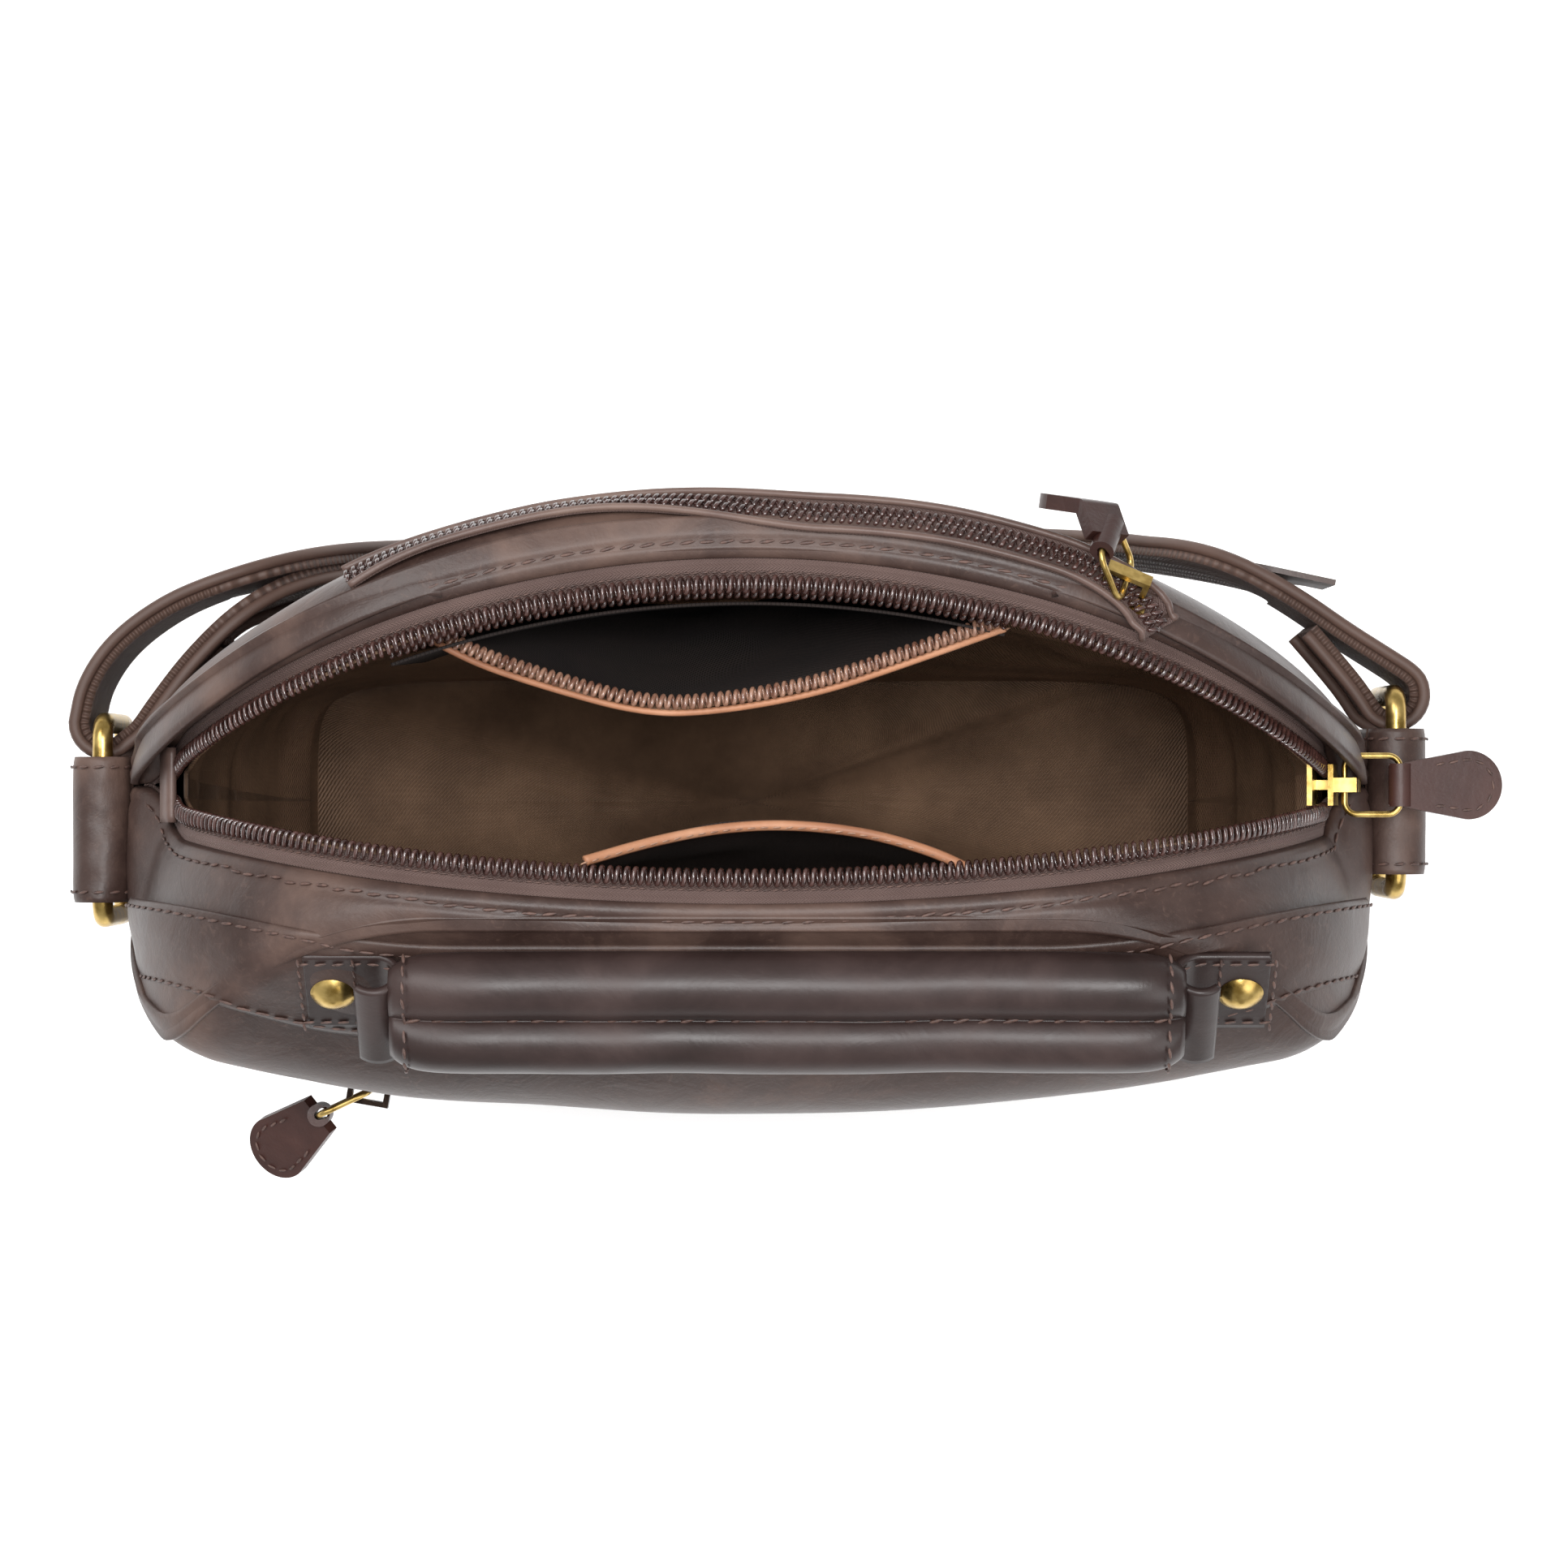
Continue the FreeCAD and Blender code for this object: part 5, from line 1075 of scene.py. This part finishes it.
strap_piece = sheet_piece("strap_ribbon", P, STRAP_THICK, webbing_cloth, "strap", "webbing",
                          replaces=["strap_webbing"])
edges = []
for k in (0, -1):
    edges.append(tube(P[:, k] - face * (STRAP_THICK / 2), up, 2.6, 2.0, 8))
plain_piece("strap_woven_edges", edges, webbing_cloth, "strap", "webbing")

# %% [markdown]
# ## Sliders, bails and pulls
# The CAD sliders, bails, rings, rivets and pulls keep their own shapes and get finishes here. The two
# flat pulls get a line of stitching on each face.

# %% Finishes for the CAD nodes that stay
for node in ("main_bail", "rear_bail", "front_bail", "ring_left", "ring_right", "handle_rivets",
             "strap_adjuster", "main_slider", "rear_slider"):
    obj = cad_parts[node]
    obj.data.materials.clear()
    obj.data.materials.append(brass)
# The two outside pocket bags get the near-black cloth: painted shade inside those pockets.
for node, material in (("front_slider", black_metal), ("base_board", board),
                       ("rear_pocket_bag", painted_shade_cloth), ("front_pocket_bag", painted_shade_cloth),
                       ("strap_patch", hide), ("main_pull", pull_hide), ("rear_pull", pull_hide),
                       ("front_pull", pull_hide)):
    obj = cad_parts[node]
    obj.data.materials.clear()
    obj.data.materials.append(material)

# %% Stitching round the flat pulls
def blade_frame(name):
    """The pull's flat face: its eye, its way along, its way out, its tip and half its thickness."""
    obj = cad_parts[name + "_pull"]
    corners = np.array([(obj.matrix_world @ v.co)[:] for v in obj.data.vertices]) / MM
    spin = np.array(obj.matrix_world.to_3x3())
    normals = np.array([p.normal[:] for p in obj.data.polygons]) @ spin.T
    areas = np.array([p.area for p in obj.data.polygons])
    alike = (normals @ normals.T > 0.999) @ areas
    out = normals[np.argmax(alike)]
    low, high = node_box(name + "_bail")
    far = np.linalg.norm(corners - (low + high) / 2, axis=1)
    end = corners[far > far.max() * 0.97].mean(0)
    eye = (low + high) / 2
    way = end - eye
    way = unit(way - (way @ out) * out)
    tip = ((corners - eye) @ way).max()
    beyond = corners[(corners - eye) @ way > tip - 8]
    level = (beyond @ out).max() / 2 + (beyond @ out).min() / 2
    side = np.cross(out, way)
    across = ((beyond @ side).max() + (beyond @ side).min()) / 2
    half_thick = ((beyond @ out).max() - (beyond @ out).min()) / 2
    base = eye + side * (across - eye @ side) + out * (level - eye @ out)
    return base, way, side, out, tip, half_thick


for name in ("main", "front"):
    base, way, side, out, tip, half_thick = blade_frame(name)
    half, turn_at = 5.3, tip - 7.25
    a = np.linspace(0, np.pi, 24)
    start = turn_at - 6.0
    u_shape = np.concatenate([
        np.stack([np.linspace(start, turn_at, 8), np.linspace(-half + 0.9, -half, 8)], -1),
        np.stack([turn_at + half * np.sin(a), -half * np.cos(a)], -1)[1:-1],
        np.stack([np.linspace(turn_at, start, 8), np.linspace(half, half - 0.9, 8)], -1)])
    rows = []
    for way_out in (-1, 1):
        run = base + u_shape[:, :1] * way + u_shape[:, 1:] * side + out * way_out * (half_thick + 0.1)
        rows.append(stitches(run, out * way_out, 2.8, 2.1, 0.6))
    plain_piece(name + "_pull_stitches", rows, thread, name + "_pull", "pull_leather")
    print(name, "blade tip", round(tip, 1), "half thickness", round(half_thick, 2))

# %% [markdown]
# ## Stage, light and camera
# A pale floor, soft lights to both sides and overhead, and a camera straight above with a long lens.

# %% Floor, lights, camera
SENSOR = 36.0           # millimetres across
SEEN = 1932 / 6.2       # millimetres across that fill the frame, 1 m from the lens
LENS = 1000 * SENSOR / SEEN

floor_material, tree, shader = new_material("pale_floor", 0.9)
shader.inputs["Base Color"].default_value = (0.94, 0.94, 0.94, 1)
shader.inputs["Emission Color"].default_value = (1, 1, 1, 1)
shader.inputs["Emission Strength"].default_value = 0.28
mesh = bpy.data.meshes.new("floor")
mesh.from_pydata([(-3, -3, 0), (3, -3, 0), (3, 3, 0), (-3, 3, 0)], [], [(0, 1, 2, 3)])
mesh.materials.append(floor_material)
floor_object = bpy.data.objects.new("floor", mesh)
bpy.context.scene.collection.objects.link(floor_object)

world = bpy.data.worlds.new("studio")
world.use_nodes = True
world.node_tree.nodes["Background"].inputs["Color"].default_value = (1, 1, 1, 1)
world.node_tree.nodes["Background"].inputs["Strength"].default_value = 0.55
bpy.context.scene.world = world


def soft_light(name, place, size, watts):
    """A square area light that faces the bag."""
    data = bpy.data.lights.new(name, "AREA")
    data.size, data.energy = size, watts
    obj = bpy.data.objects.new(name, data)
    bpy.context.scene.collection.objects.link(obj)
    obj.location = place
    direction = np.array([0, 0, 0.12]) - np.array(place)
    obj.rotation_euler = Vector(direction).to_track_quat("-Z", "Y").to_euler()
    return obj


soft_light("key_light", (-0.7, 0.5, 1.3), 0.7, 13)
soft_light("fill_light", (0.8, -0.6, 1.2), 0.9, 8)
soft_light("overhead_light", (0.05, 0.1, 1.5), 0.35, 13)
camera_data = bpy.data.cameras.new("camera")
camera_data.sensor_width = SENSOR
camera_data.lens = LENS
camera = bpy.data.objects.new("camera", camera_data)
camera.location = (0.0074, 0.0042, 1.2)
bpy.context.scene.collection.objects.link(camera)
bpy.context.scene.camera = camera
bpy.context.scene.view_settings.view_transform = "Standard"
